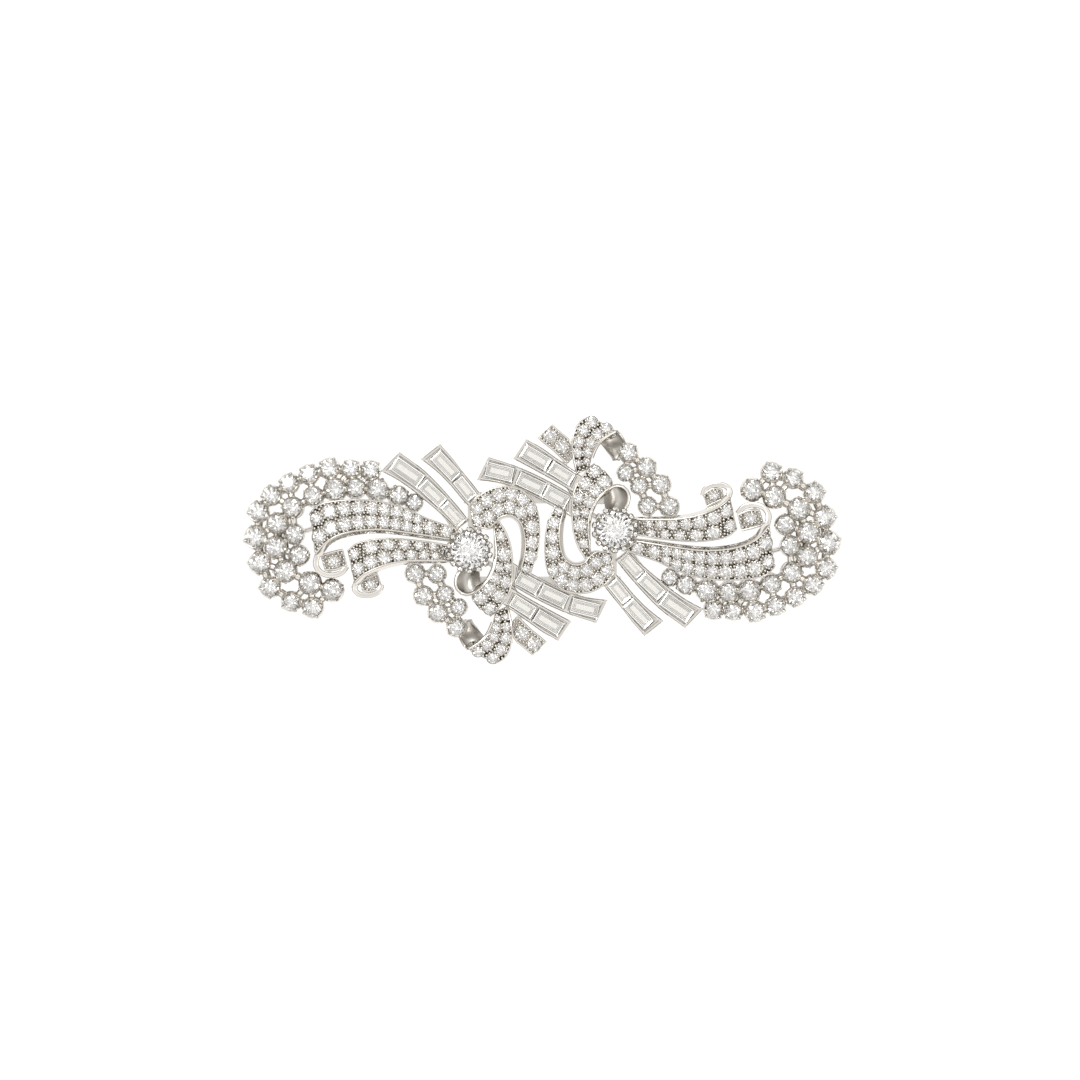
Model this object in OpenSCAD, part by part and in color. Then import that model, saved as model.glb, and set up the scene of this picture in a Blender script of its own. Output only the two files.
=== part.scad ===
// Double clip brooch: two equal spray clips set with round and baguette stones, on one pin frame.
// The right clip is the left one turned half round the middle. The brooch lies on its back,
// +Z is up, +X is to the right of the front view, and the origin is the middle of the box's bottom.

/* [Metal] */
// Thickness of the pave ribbons
band_t = 1.3; // [1.1:0.1:1.6]
// Width of the polished rim along each ribbon
rim_w = 0.3; // [0.2:0.05:0.35]
// Depth of the pave floor below the rims
floor_d = 0.6; // [0.5:0.05:0.8]
// Width of the wires that join the collets and carry the ribbons
wire_w = 0.8; // [0.6:0.1:1.2]
// Outward lean of the collets in the outer row, in degrees
outer_lean = 15; // [0:1:20]

/* [Stones] */
// Diameter of each centre stone
centre_d = 5.6; // [5:0.1:5.8]
// Width of metal that shows round each collet-set stone
collet_edge = 0.14; // [0.1:0.02:0.2]
// Share of the crown width that the table of a round stone takes
table_share = 0.58; // [0.5:0.02:0.65]

/* [Back] */
// Height of the pin frame that lies under the clips
back_h = 3.5; // [3:0.1:4.5]
// Length of the pin frame along the brooch
back_l = 23.6; // [20:0.2:25]
// Width of the pin frame across the brooch
back_w = 13.8; // [12:0.2:15]
// Thickness of the pin stem
stem_d = 1; // [0.8:0.1:1.2]

/* [Hidden] */

// Underside of both clips, just clear of the pin frame
base_z = back_h + 0.1;
platinum = [0.80, 0.80, 0.79];
diamond = [0.93, 0.94, 0.95];

// Ribbons and channels: a row for each section, with the points of its two edges.
// Columns: ax ay az bx by bz
upper_ribbon = [
    [-12.6, 1.8, 8.4, -13.4, -0.1, 8.8],
    [-16.8, 3.2, 8.7, -16.8, 0.5, 9.6],
    [-20.1, 4.7, 8.8, -20.7, 1.1, 10.2],
    [-23.6, 5.8, 8.7, -24.3, 1.5, 10.6],
    [-27.3, 6.2, 8.6, -27.8, 1.3, 10.8],
    [-31.1, 6.0, 8.3, -30.6, 0.6, 10.8],
    [-33.6, 5.4, 7.9, -32.6, -0.6, 10.5],
    [-34.9, 4.2, 7.2, -34.1, -2.3, 9.8]
];
lower_ribbon = [
    [-13.0, -0.9, 8.0, -13.4, -3.3, 8.4],
    [-16.5, -0.2, 8.3, -16.5, -3.2, 9.0],
    [-19.8, 0.2, 8.4, -19.7, -3.2, 9.6],
    [-23.1, 0.4, 8.3, -22.7, -3.6, 10.0],
    [-26.1, 0.1, 8.0, -25.1, -4.4, 10.1],
    [-28.1, -0.5, 7.7, -27.0, -5.4, 9.9],
    [-29.3, -1.5, 7.2, -28.2, -6.5, 9.4]
];
big_loop = [
    [-10.8, 4.6, 8.0, -10.3, 2.2, 8.6],
    [-10.1, 6.2, 8.2, -8.3, 1.6, 9.0],
    [-8.4, 7.5, 8.4, -7.2, 2.3, 9.4],
    [-6.6, 8.1, 8.5, -6.3, 3.3, 9.6],
    [-4.5, 8.1, 8.6, -5.1, 3.6, 9.7],
    [-2.7, 7.4, 8.6, -4.1, 3.3, 9.7],
    [-1.2, 5.8, 8.6, -3.2, 2.3, 9.6],
    [-0.4, 3.6, 8.5, -2.7, 0.6, 9.5],
    [-0.25, 0.9, 8.4, -2.6, -1.0, 9.3],
    [-0.5, -1.8, 8.2, -2.8, -2.6, 9.0],
    [-1.2, -4.0, 8.0, -3.2, -4.0, 8.6],
    [-1.8, -5.2, 7.8, -3.5, -4.6, 8.2]
];
front_ribbon = [
    [-6.5, 3.0, 8.3, -7.4, 2.1, 8.3],
    [-5.3, 1.2, 8.6, -7.2, 0.3, 9.0],
    [-4.5, -1.2, 8.9, -7.0, -1.8, 9.6],
    [-4.3, -3.8, 9.2, -7.2, -3.8, 10.0],
    [-4.4, -6.2, 9.2, -8.0, -5.6, 10.2],
    [-4.9, -8.1, 9.0, -9.0, -6.9, 10.2],
    [-5.9, -9.6, 8.6, -10.1, -7.8, 9.9],
    [-6.9, -10.9, 8.0, -10.6, -8.8, 9.2],
    [-7.7, -11.6, 7.2, -9.6, -10.2, 8.0]
];
tip_ribbon = [
    [-5.1, -9.8, 7.0, -7.1, -10.7, 7.1],
    [-4.5, -12.3, 7.9, -7.6, -12.9, 8.4],
    [-4.3, -14.4, 8.1, -8.3, -14.2, 9.0],
    [-4.7, -16.4, 7.9, -9.4, -15.4, 9.0],
    [-5.6, -17.9, 7.4, -11.1, -16.2, 8.4],
    [-7.0, -18.7, 6.8, -10.5, -16.9, 7.7]
];
side_tab = [
    [-3.7, -11.3, 7.0, -5.0, -12.8, 7.0],
    [-1.8, -13.2, 6.9, -4.2, -15.0, 6.9],
    [-0.3, -14.4, 6.9, -2.9, -16.2, 6.9],
    [0.7, -15.3, 6.9, -1.5, -17.4, 6.9]
];
spray_a = [
    [-21.4, 13.2, 7.8, -24.2, 10.3, 7.8],
    [-19.4, 11.8, 7.7, -21.9, 9.1, 7.7],
    [-17.4, 10.2, 7.6, -19.7, 7.6, 7.6],
    [-15.6, 8.4, 7.5, -17.6, 5.9, 7.5],
    [-13.8, 6.4, 7.4, -15.6, 4.2, 7.4],
    [-12.3, 4.6, 7.5, -14.0, 2.7, 7.5],
    [-11.1, 3.1, 7.6, -12.8, 1.6, 7.6]
];
spray_b = [
    [-15.3, 14.4, 8.0, -18.2, 12.1, 8.0],
    [-13.5, 12.4, 7.8, -15.8, 10.2, 7.8],
    [-11.9, 10.3, 7.6, -13.8, 8.2, 7.6],
    [-10.4, 8.4, 7.4, -12.2, 6.3, 7.4],
    [-9.2, 6.9, 7.2, -10.8, 4.8, 7.2]
];
spray_c = [
    [9.8, -9.0, 6.6, 8.1, -12.5, 6.6],
    [6.4, -8.5, 6.6, 5.2, -11.6, 6.6],
    [3.1, -7.3, 6.6, 2.2, -10.4, 6.6],
    [0.4, -6.0, 6.6, -0.3, -9.2, 6.6],
    [-2.1, -4.7, 6.6, -2.7, -7.9, 6.6],
    [-4.2, -3.5, 6.6, -4.5, -6.8, 6.6],
    [-5.6, -2.7, 6.6, -5.9, -5.9, 6.6]
];
spray_d = [
    [4.4, -12.2, 6.2, 2.4, -15.2, 6.2],
    [2.1, -11.0, 6.3, 0.1, -13.9, 6.3],
    [-0.3, -9.7, 6.4, -2.0, -12.4, 6.4],
    [-2.6, -8.4, 6.4, -3.9, -11.1, 6.4],
    [-4.5, -7.2, 6.4, -5.7, -9.8, 6.4],
    [-5.8, -6.4, 6.4, -6.8, -8.9, 6.4]
];
// Polished hollows: the rolled-over inner faces of the two lower ribbons
front_cup = [
    [-9.6, -3.4, 8.0, -11.1, -3.6, 7.8],
    [-9.4, -5.0, 8.5, -12.4, -4.7, 8.1],
    [-9.4, -6.2, 8.8, -12.95, -6.0, 8.3],
    [-9.1, -7.0, 9.1, -12.8, -7.2, 8.5],
    [-9.6, -7.7, 9.1, -12.1, -7.95, 8.6]
];
tip_cup = [
    [-11.0, -12.0, 6.6, -11.5, -12.0, 5.6],
    [-9.9, -13.2, 7.3, -11.9, -13.4, 5.6],
    [-8.8, -14.4, 8.0, -12.3, -14.7, 6.6],
    [-8.7, -15.4, 8.1, -11.5, -16.1, 7.5]
];
// Scrolls at the wide ends of the ribbons. Columns: x y z
upper_scroll = [
    [-33.3, -0.9, 9.0],
    [-33.8, -2.5, 8.95],
    [-33.95, -3.7, 8.75],
    [-33.3, -4.8, 8.5],
    [-31.9, -5.3, 8.2],
    [-30.3, -5.0, 7.9],
    [-29.3, -3.9, 7.7]
];
lower_scroll = [
    [-27.4, -5.0, 8.7],
    [-27.95, -6.5, 8.6],
    [-28.1, -7.5, 8.4],
    [-27.3, -8.2, 8.2],
    [-25.8, -8.3, 8.0],
    [-24.5, -7.7, 7.8],
    [-24.1, -6.6, 7.6]
];
// Round collets. Columns: x y radius z lean, where z is the stone's girdle and lean is a share
cluster = [
    [-25.7, 10.6, 1.43, 6.3, 1],
    [-28.7, 10.8, 1.35, 6.2, 1],
    [-32.0, 10.9, 1.50, 6.1, 1],
    [-35.1, 10.0, 1.43, 6.1, 1],
    [-38.1, 8.6, 1.43, 6.1, 1],
    [-40.8, 6.8, 1.43, 6.1, 1],
    [-42.8, 4.3, 1.50, 6.1, 1],
    [-43.2, 0.4, 1.65, 6.1, 1],
    [-42.6, -3.5, 1.58, 6.1, 1],
    [-41.0, -7.2, 1.50, 6.1, 1],
    [-37.8, -9.4, 1.43, 6.1, 1],
    [-34.5, -10.3, 1.50, 6.2, 1],
    [-19.2, 5.6, 1.25, 6.8, 0.3],
    [-21.6, 6.7, 1.43, 6.8, 0.4],
    [-24.7, 7.6, 1.60, 6.9, 0.4],
    [-28.0, 7.8, 1.43, 6.9, 0.4],
    [-31.1, 7.6, 1.60, 6.9, 0.4],
    [-34.4, 6.6, 1.43, 6.9, 0.4],
    [-37.5, 4.9, 1.50, 6.9, 0.4],
    [-39.8, 2.5, 1.50, 6.8, 0.4],
    [-40.0, -1.1, 1.58, 6.8, 0.4],
    [-38.6, -4.7, 1.58, 6.8, 0.4],
    [-34.9, -6.5, 1.58, 7.0, 0.2],
    [-31.5, -7.6, 1.58, 7.1, 0],
    [-37.2, 0.9, 1.43, 7.3, 0],
    [-36.5, -2.3, 1.43, 7.3, 0]
];
cluster_middle = [-30, 0.5];
fan = [
    [-19.1, -5.0, 1.40, 6.6, 0],
    [-15.8, -5.1, 1.30, 6.6, 0],
    [-17.9, -8.4, 1.40, 6.6, 0.2],
    [-14.6, -8.1, 1.25, 6.7, 0],
    [-15.7, -11.0, 1.40, 6.5, 0.3],
    [-12.5, -10.1, 1.20, 6.6, 0],
    [-12.9, -13.2, 1.40, 6.4, 0.4]
];
fan_middle = [-13, -5];
// Wires of the web under the collets, by the collets' places in the lists above
cluster_rows = [[0, 1, 2, 3, 4, 5, 6, 7, 8, 9, 10, 11], [12, 13, 14, 15, 16, 17, 18, 19, 20, 21, 22, 23]];
cluster_ties = [[19, 24, 25], [25, 20], [0, 14], [3, 17], [6, 19], [8, 20], [11, 23]];
fan_rows = [[0, 2, 4, 6], [1, 3, 5]];
fan_ties = [[0, 1], [2, 3], [4, 5], [5, 6]];

// Rows of pave stones on a ribbon. Columns: v s0 s1 n r0 r1
// v is the place across the ribbon, s0 to s1 the stretch along it, and r0 to r1 the stones' radius,
// which is held back where a neighbour or the rim stands nearer
upper_rows = [[0, 0.42, 1.02, 2, 0.9, 0.92], [-0.44, 1.5, 6.35, 9, 0.74, 1.12], [0.44, 1.5, 6.35, 9, 0.74, 1.1]];
lower_rows = [[0, 0.3, 0.3, 1, 0.92, 0.92], [-0.47, 0.95, 5.3, 6, 0.74, 1.08], [0.45, 0.85, 5.25, 7, 0.74, 1]];
loop_rows = [[-0.42, 0.85, 6.1, 6, 1.1, 1.05], [0.42, 0.5, 5.4, 5, 0.98, 0.98], [0, 7.1, 10.4, 4, 0.98, 0.85]];

// Baguettes. Columns: spray s length width, where s is the place along the channel
baguettes = [
    [0, 1.2, 5.0, 2.4],
    [0, 3.1, 4.3, 2.0],
    [0, 4.85, 4.0, 1.5],
    [1, 1.1, 4.7, 2.1],
    [1, 2.78, 3.7, 1.8],
    [2, 0.82, 4.3, 2.3],
    [2, 2.35, 4.4, 2.2],
    [2, 3.88, 3.8, 2.2],
    [3, 1.08, 4.5, 2.2],
    [3, 2.82, 3.9, 2.0]
];
sprays = [spray_a, spray_b, spray_c, spray_d];
setting_at = [-10.9, -1.55];
girdle_z = 10.3;

function unit(v) = v / norm(v);
function smooth(a, b, c, d, t) =
    0.5 * (2 * b + (c - a) * t + (2 * a - 5 * b + 4 * c - d) * t * t + (3 * b - a - 3 * c + d) * t * t * t);
function row_at(rows, s) =
    let (n = len(rows) - 1, i = min(max(floor(s), 0), n - 1))
    smooth(rows[max(i - 1, 0)], rows[i], rows[i + 1], rows[min(i + 2, n)], s - i);
function place(rows, s, v) =
    let (r = row_at(rows, s))
    [for (k = [0 : 2]) r[k] * (1 - v) / 2 + r[k + 3] * (1 + v) / 2];
function across(rows, s) = unit(place(rows, s, 1) - place(rows, s, -1));
function along(rows, s) = unit(place(rows, s + 0.05, 0) - place(rows, s - 0.05, 0));
function facing(rows, s) = cross(along(rows, s), across(rows, s))[2] < 0 ? -1 : 1;
function above(rows, s) = facing(rows, s) * unit(cross(along(rows, s), across(rows, s)));
function walk(rows, v, s0, s1) =
    let (ss = [for (i = [0 : 24]) s0 + (s1 - s0) * i / 24])
    let (steps = [for (i = [1 : 24]) norm(place(rows, ss[i], v) - place(rows, ss[i - 1], v))])
    [for (i = 0, far = 0; i <= 24; far = far + (i < 24 ? steps[i] : 0), i = i + 1) [far, ss[i]]];
function spaced(rows, v, s0, s1, n, q) =
    let (way = walk(rows, v, s0, s1), far = way[24][0])
    [for (i = [0 : n - 1]) n == 1 ? s0
        : lookup(far * (abs(q - 1) < 0.001 ? i / (n - 1) : (pow(q, i / (n - 1)) - 1) / (q - 1)), way)];
function pave_places(rows, list) =
    [for (g = list) let (ss = spaced(rows, g[0], g[1], g[2], g[3], g[5] / g[4])) for (i = [0 : g[3] - 1])
        let (room = (1 - abs(g[0])) * norm(place(rows, ss[i], 1) - place(rows, ss[i], -1)) / 2 - rim_w)
        [ss[i], g[0], min(g[4] + (g[5] - g[4]) * i / max(g[3] - 1, 1), room)]];
function lean_axis(c, middle) =
    let (d = unit([c[0], c[1]] - middle), a = outer_lean * c[4])
    [d[0] * sin(a), d[1] * sin(a), cos(a)];
function root_of(c, middle) = [c[0], c[1], c[3]] - lean_axis(c, middle) * (c[3] - base_z - 0.8);

// Puts children at a point with their Z along a given direction and X towards another
module facing_to(p, x, z) {
    y = unit(cross(z, x));
    xx = cross(y, z);
    multmatrix([
        [xx[0], y[0], z[0], p[0]],
        [xx[1], y[1], z[1], p[1]],
        [xx[2], y[2], z[2], p[2]]
    ])
        children();
}

// A solid through equal rings of points, closed at both ends
module loft(rings, turn) {
    n = len(rings[0]);
    m = len(rings);
    quads = [for (i = [0 : m - 2]) for (k = [0 : n - 1])
        [i * n + k, i * n + (k + 1) % n, (i + 1) * n + (k + 1) % n, (i + 1) * n + k]];
    sides = [for (q = quads) for (t = [[q[0], q[1], q[2]], [q[0], q[2], q[3]]])
        turn > 0 ? t : [t[2], t[1], t[0]]];
    first = [for (k = [0 : n - 1]) turn > 0 ? n - 1 - k : k];
    last = [for (k = [0 : n - 1]) (m - 1) * n + (turn > 0 ? k : n - 1 - k)];
    polyhedron([for (r = rings) each r], concat(sides, [first, last]));
}

// A straight bar between two points, level across
module bar(p, q, w, h) {
    a = atan2(q[1] - p[1], q[0] - p[0]);
    hull()
        for (e = [p, q])
            translate(e)
                rotate([0, 0, a])
                    cube([0.06, w, h], center = true);
}

// A ribbon with a raised polished rim on both edges and a floor between them
module band(rows, steps, rim, drop, thick) {
    n = len(rows) - 1;
    rings = [for (i = [0 : steps])
        let (s = n * i / steps, a = place(rows, s, -1), b = place(rows, s, 1))
        let (c = across(rows, s) * rim, u = above(rows, s))
        [a - u * thick, a, a + c, a + c - u * drop, b - c - u * drop, b - c, b, b - u * thick]];
    loft(rings, facing(rows, n / 2));
}

// A polished sheet that sags in the middle
module cup(rows, steps, sag, thick) {
    n = len(rows) - 1;
    rings = [for (i = [0 : steps])
        let (s = n * i / steps, u = above(rows, s))
        [for (v = [-1, -0.5, 0, 0.5, 1]) place(rows, s, v) - u * sag * (1 - v * v),
         for (v = [1, 0, -1]) place(rows, s, v) - u * (sag * (1 - v * v) + thick)]];
    loft(rings, facing(rows, n / 2));
}

// A wall that stands on edge and follows a line of points
module scroll(points, steps, thick, tall) {
    n = len(points) - 1;
    rings = [for (i = [0 : steps])
        let (s = n * i / steps, p = row_at(points, s), d = row_at(points, s + 0.05) - row_at(points, s - 0.05))
        let (w = unit([-d[1], d[0], 0]) * thick / 2)
        [p - w - [0, 0, tall], p - w, p + w, p + w - [0, 0, tall]]];
    loft(rings, 1);
}

// A leg from the underside of a ribbon down to the web below it
module leg(rows, s, depth) {
    p = place(rows, s, 0) - above(rows, s) * depth;
    translate([p[0] - 0.3, p[1] - 0.3, base_z + 0.5])
        cube([0.6, 0.6, p[2] - base_z - 0.5]);
}
function foot(rows, s, depth) = place(rows, s, 0) - above(rows, s) * depth;

// A flat wire of the web through a line of points, with mitred corners and its last end drawn out
module wire(points, w = wire_w) {
    n = len(points);
    raw = [for (p = points) [p[0], p[1]]];
    flat = [for (i = [0 : n - 1]) i < n - 1 ? raw[i] : raw[i] + unit(raw[i] - raw[i - 1]) * 0.42];
    dirs = [for (i = [0 : n - 1])
        let (a = i > 0 ? unit(flat[i] - flat[i - 1]) : unit(flat[1] - flat[0]))
        let (b = i < n - 1 ? unit(flat[i + 1] - flat[i]) : a)
        let (m = unit(a + b))
        [-m[1], m[0]] * w / 2 / (m * a)];
    polygon(concat(
        [for (i = [0 : n - 1]) flat[i] + dirs[i]],
        [for (i = [n - 1 : -1 : 0]) flat[i] - dirs[i]]));
}

module collet(c, middle) {
    z = lean_axis(c, middle);
    h = c[3] - base_z - 1;
    facing_to([c[0], c[1], c[3]] - z * 0.22, [1, 0, 0], z)
        rotate(22.5)
            difference() {
                translate([0, 0, -h])
                    cylinder(h = h, r1 = 0.36, r2 = c[2], $fn = 8);
                translate([0, 0, 0.01])
                    mirror([0, 0, 1])
                        cylinder(h = c[2] * 0.9, r1 = c[2] - collet_edge, r2 = 0, $fn = 8);
            }
}

module crown_setting() {
    r = centre_d / 2;
    translate([setting_at[0], setting_at[1], 0])
        rotate(22.5) {
            difference() {
                translate([0, 0, base_z + 0.4])
                    cylinder(h = girdle_z - 1 - base_z, r1 = 1.9, r2 = r + 0.3, $fn = 8);
                translate([0, 0, girdle_z - 0.59])
                    mirror([0, 0, 1])
                        cylinder(h = 2.6, r1 = r - 0.05, r2 = 0, $fn = 8);
            }
            for (i = [0 : 7])
                rotate(45 * i)
                    bar([r + 0.1, 0, girdle_z - 1.4], [r + 0.32, 0, girdle_z + 0.25], 0.5, 0.42);
        }
}

module clip_metal() {
    band(upper_ribbon, 10, rim_w, floor_d, band_t);
    band(lower_ribbon, 8, rim_w, floor_d, band_t);
    band(big_loop, 15, rim_w, floor_d, band_t);
    band(front_ribbon, 9, rim_w, floor_d, band_t);
    band(tip_ribbon, 7, rim_w, floor_d, band_t);
    band(side_tab, 2, rim_w, floor_d, band_t);
    band(spray_a, 4, 0.42, 1.3, 1.9);
    band(spray_b, 3, 0.42, 1.3, 1.9);
    band(spray_c, 4, 0.42, 1.3, 1.9);
    band(spray_d, 3, 0.42, 1.3, 1.9);
    cup(front_cup, 6, 1.1, 0.6);
    cup(tip_cup, 5, 0.6, 0.6);
    scroll(upper_scroll, 8, 0.7, 4);
    scroll(lower_scroll, 8, 0.7, 4);
    for (c = cluster)
        collet(c, cluster_middle);
    for (c = fan)
        collet(c, fan_middle);
    crown_setting();
    gallery();
}

module gallery() {
    leg(upper_ribbon, 1, 0.9);
    leg(upper_ribbon, 4.6, 0.9);
    leg(lower_ribbon, 1, 0.9);
    leg(lower_ribbon, 4.4, 0.9);
    leg(big_loop, 1.6, 0.9);
    leg(front_ribbon, 3.4, 0.9);
    leg(tip_ribbon, 3, 0.9);
    leg(spray_a, 2.4, 1.6);
    leg(spray_b, 1.6, 1.6);
    leg(spray_c, 1.4, 1.6);
    leg(spray_d, 2.4, 1.6);
    translate([0, 0, base_z])
        linear_extrude(1)
            web();
}

// The flat web of wires that all collets and legs stand on
module web() {
    broad = 1.3;
    narrow = wire_w * 0.8;
    for (l = cluster_rows)
        wire([for (i = l) root_of(cluster[i], cluster_middle)], broad);
    for (l = cluster_ties)
        wire([for (i = l) root_of(cluster[i], cluster_middle)], narrow);
    for (l = fan_rows)
        wire([for (i = l) root_of(fan[i], fan_middle)], broad);
    for (l = fan_ties)
        wire([for (i = l) root_of(fan[i], fan_middle)], narrow);
    translate(setting_at)
        circle(2, $fn = 8);
    upper = [for (s = [1, 4.6]) foot(upper_ribbon, s, 0.9)];
    lower = [for (s = [1, 4.4]) foot(lower_ribbon, s, 0.9)];
    front = foot(front_ribbon, 3.4, 0.9);
    tip = foot(tip_ribbon, 3, 0.9);
    wire([setting_at, upper[0], upper[1], root_of(cluster[24], cluster_middle)]);
    wire([setting_at, lower[0], lower[1], [-28.4, -7.3]]);
    wire([upper[1], root_of(cluster[16], cluster_middle)], narrow);
    wire([setting_at, foot(spray_a, 2.4, 1.6)]);
    wire([setting_at, foot(big_loop, 1.6, 0.9), foot(spray_b, 1.6, 1.6)]);
    wire([setting_at, front, foot(spray_c, 1.4, 1.6)]);
    wire([front, foot(spray_d, 2.4, 1.6), tip, root_of(fan[6], fan_middle)], narrow);
    wire([lower[0], root_of(fan[1], fan_middle)], narrow);
    wire([root_of(cluster[23], cluster_middle), [-32, -4.6]], narrow);
}

// A round cut stone: table, a ring of crown facets and a pointed pavilion
module round_stone(r, depth, sides) {
    ring = [for (i = [0 : sides - 1]) let (a = 360 * i / sides) [r * cos(a), r * sin(a), 0]];
    table = [for (i = [0 : sides - 1]) let (a = 360 * (i + 0.5) / sides)
        [table_share * r * cos(a), table_share * r * sin(a), 0.28 * r]];
    hull()
        polyhedron(concat(ring, table, [[0, 0, -depth]]), concat(
            [[for (i = [0 : sides - 1]) sides * 2 - 1 - i]],
            [for (i = [0 : sides - 1]) each [
                [i, sides + i, (i + 1) % sides],
                [sides + i, sides + (i + 1) % sides, (i + 1) % sides],
                [i, (i + 1) % sides, 2 * sides]]]));
}

// A step cut baguette: table, two crown steps and a keel below
module baguette(length, width) {
    steps = [[0, 0], [0.28, 0.2], [0.8, 0.38]];
    corners = [[-1, -1], [1, -1], [1, 1], [-1, 1]];
    ring = [for (t = steps) for (k = corners)
        [k[0] * (length - t[0]) / 2, k[1] * (width - t[0]) / 2, t[1]]];
    keel = [for (k = [-1, 1]) [k * (length - width * 0.8) / 2, 0, -0.95]];
    hull()
        polyhedron(concat(ring, keel), concat(
            [[11, 10, 9, 8]],
            [for (j = [0, 4]) for (i = [0 : 3]) [j + i, j + i + 4, j + (i + 1) % 4 + 4, j + (i + 1) % 4]],
            [[0, 1, 13, 12], [1, 2, 13], [2, 3, 12, 13], [3, 0, 12]]));
}

module collet_stones(list, middle) {
    for (c = list)
        facing_to([c[0], c[1], c[3]], [1, 0, 0], lean_axis(c, middle))
            round_stone(c[2] - collet_edge, (c[2] - collet_edge) * 0.72, 8);
}

module pave(rows, list) {
    found = pave_places(rows, list);
    spots = [for (f = found) place(rows, f[0], f[1])];
    for (i = [0 : len(found) - 1])
        let (s = found[i][0], u = above(rows, s))
        let (near = min([for (j = [0 : len(spots) - 1]) j == i ? 9 : norm(spots[j] - spots[i])]))
        facing_to(spots[i] - u * 0.06, along(rows, s), u)
            round_stone(min(found[i][2], near / 2 - 0.03), floor_d - 0.26, 8);
}

module left_or_right(side) {
    rotate([0, 0, side > 0 ? 180 : 0])
        children();
}

module clip_frame(side) {
    color(platinum)
        left_or_right(side)
            clip_metal();
}

module centre_stone(side) {
    color(diamond)
        left_or_right(side)
            translate([setting_at[0], setting_at[1], girdle_z])
                round_stone(centre_d / 2, centre_d * 0.36, 16);
}

module spray_stone(side, i) {
    g = baguettes[i - 1];
    rows = sprays[g[0]];
    u = above(rows, g[1]);
    color(diamond)
        left_or_right(side)
            facing_to(place(rows, g[1], 0) + u * 0.04, along(rows, g[1]), u)
                baguette(g[2], g[3]);
}

module cluster_stones(side) {
    color(diamond)
        left_or_right(side)
            collet_stones(cluster, cluster_middle);
}

module fan_stones(side) {
    color(diamond)
        left_or_right(side)
            collet_stones(fan, fan_middle);
}

module ribbon_stones(side) {
    color(diamond)
        left_or_right(side) {
            pave(upper_ribbon, upper_rows);
            pave(lower_ribbon, lower_rows);
        }
}

module loop_stones(side) {
    color(diamond)
        left_or_right(side)
            pave(big_loop, loop_rows);
}

// Plain frame that carries both clips: two rails, two cross bars, four feet, and the stem with barrel and catch
module pin_frame() {
    plate_t = 1.1;
    rail_w = 1.4;
    low = back_h - plate_t;
    end = back_l / 2;
    side = back_w / 2;
    stem_y = side - rail_w / 2;
    color(platinum) {
        for (y = [-side, side - rail_w])
            translate([-end, y, low])
                cube([back_l, rail_w, plate_t]);
        for (k = [-1, 1]) {
            translate([k * (end - 1.2) - 0.6, -side, low])
                cube([1.2, back_w, plate_t]);
            for (y = [-side, side - rail_w])
                translate([k * (end - 1.1) - 1.1, y, 0])
                    cube([2.2, rail_w, back_h - 0.2]);
        }
        translate([-end + 2.7, stem_y - 1, 1.3])
            rotate([-90, 0, 0])
                cylinder(h = 2, d = 1.3, $fn = 24);
        translate([-end + 2, stem_y, 1.3])
            rotate([0, 90, 0])
                cylinder(h = back_l - 4, d = stem_d, $fn = 24);
        translate([end - 4.4, stem_y - 0.8, 0.5])
            cube([2.4, 1.6, 0.4]);
    }
}

clip_frame(-1);  // clip_frame_left
clip_frame(1);  // clip_frame_right
centre_stone(-1);  // centre_stone_left
centre_stone(1);  // centre_stone_right
spray_stone(-1, 1);  // baguette_left_1
spray_stone(-1, 2);  // baguette_left_2
spray_stone(-1, 3);  // baguette_left_3
spray_stone(-1, 4);  // baguette_left_4
spray_stone(-1, 5);  // baguette_left_5
spray_stone(-1, 6);  // baguette_left_6
spray_stone(-1, 7);  // baguette_left_7
spray_stone(-1, 8);  // baguette_left_8
spray_stone(-1, 9);  // baguette_left_9
spray_stone(-1, 10);  // baguette_left_10
spray_stone(1, 1);  // baguette_right_1
spray_stone(1, 2);  // baguette_right_2
spray_stone(1, 3);  // baguette_right_3
spray_stone(1, 4);  // baguette_right_4
spray_stone(1, 5);  // baguette_right_5
spray_stone(1, 6);  // baguette_right_6
spray_stone(1, 7);  // baguette_right_7
spray_stone(1, 8);  // baguette_right_8
spray_stone(1, 9);  // baguette_right_9
spray_stone(1, 10);  // baguette_right_10
cluster_stones(-1);  // cluster_stones_left
cluster_stones(1);  // cluster_stones_right
fan_stones(-1);  // fan_stones_left
fan_stones(1);  // fan_stones_right
ribbon_stones(-1);  // ribbon_stones_left
ribbon_stones(1);  // ribbon_stones_right
loop_stones(-1);  // loop_stones_left
loop_stones(1);  // loop_stones_right
pin_frame();
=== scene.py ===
import math

import bmesh
import bpy
from mathutils import Matrix, Vector


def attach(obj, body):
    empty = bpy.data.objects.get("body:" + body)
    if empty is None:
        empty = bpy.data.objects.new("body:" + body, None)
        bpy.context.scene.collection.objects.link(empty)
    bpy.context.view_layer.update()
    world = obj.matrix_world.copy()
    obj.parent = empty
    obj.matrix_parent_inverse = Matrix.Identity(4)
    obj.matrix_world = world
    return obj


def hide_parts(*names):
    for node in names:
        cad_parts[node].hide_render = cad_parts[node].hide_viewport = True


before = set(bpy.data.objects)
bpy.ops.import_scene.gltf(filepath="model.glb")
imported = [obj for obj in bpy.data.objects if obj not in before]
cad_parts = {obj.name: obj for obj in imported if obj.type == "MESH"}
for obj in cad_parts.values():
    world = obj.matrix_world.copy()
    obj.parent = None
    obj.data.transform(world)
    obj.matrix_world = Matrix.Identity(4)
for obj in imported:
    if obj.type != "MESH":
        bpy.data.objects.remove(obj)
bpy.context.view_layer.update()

mm = 0.001


def hexLinear(code):
    # sRGB hex to the linear values Blender mixes with
    parts = [int(code[i:i + 2], 16) / 255 for i in (1, 3, 5)]
    return [c / 12.92 if c < 0.04045 else ((c + 0.055) / 1.055) ** 2.4 for c in parts] + [1]


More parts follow.
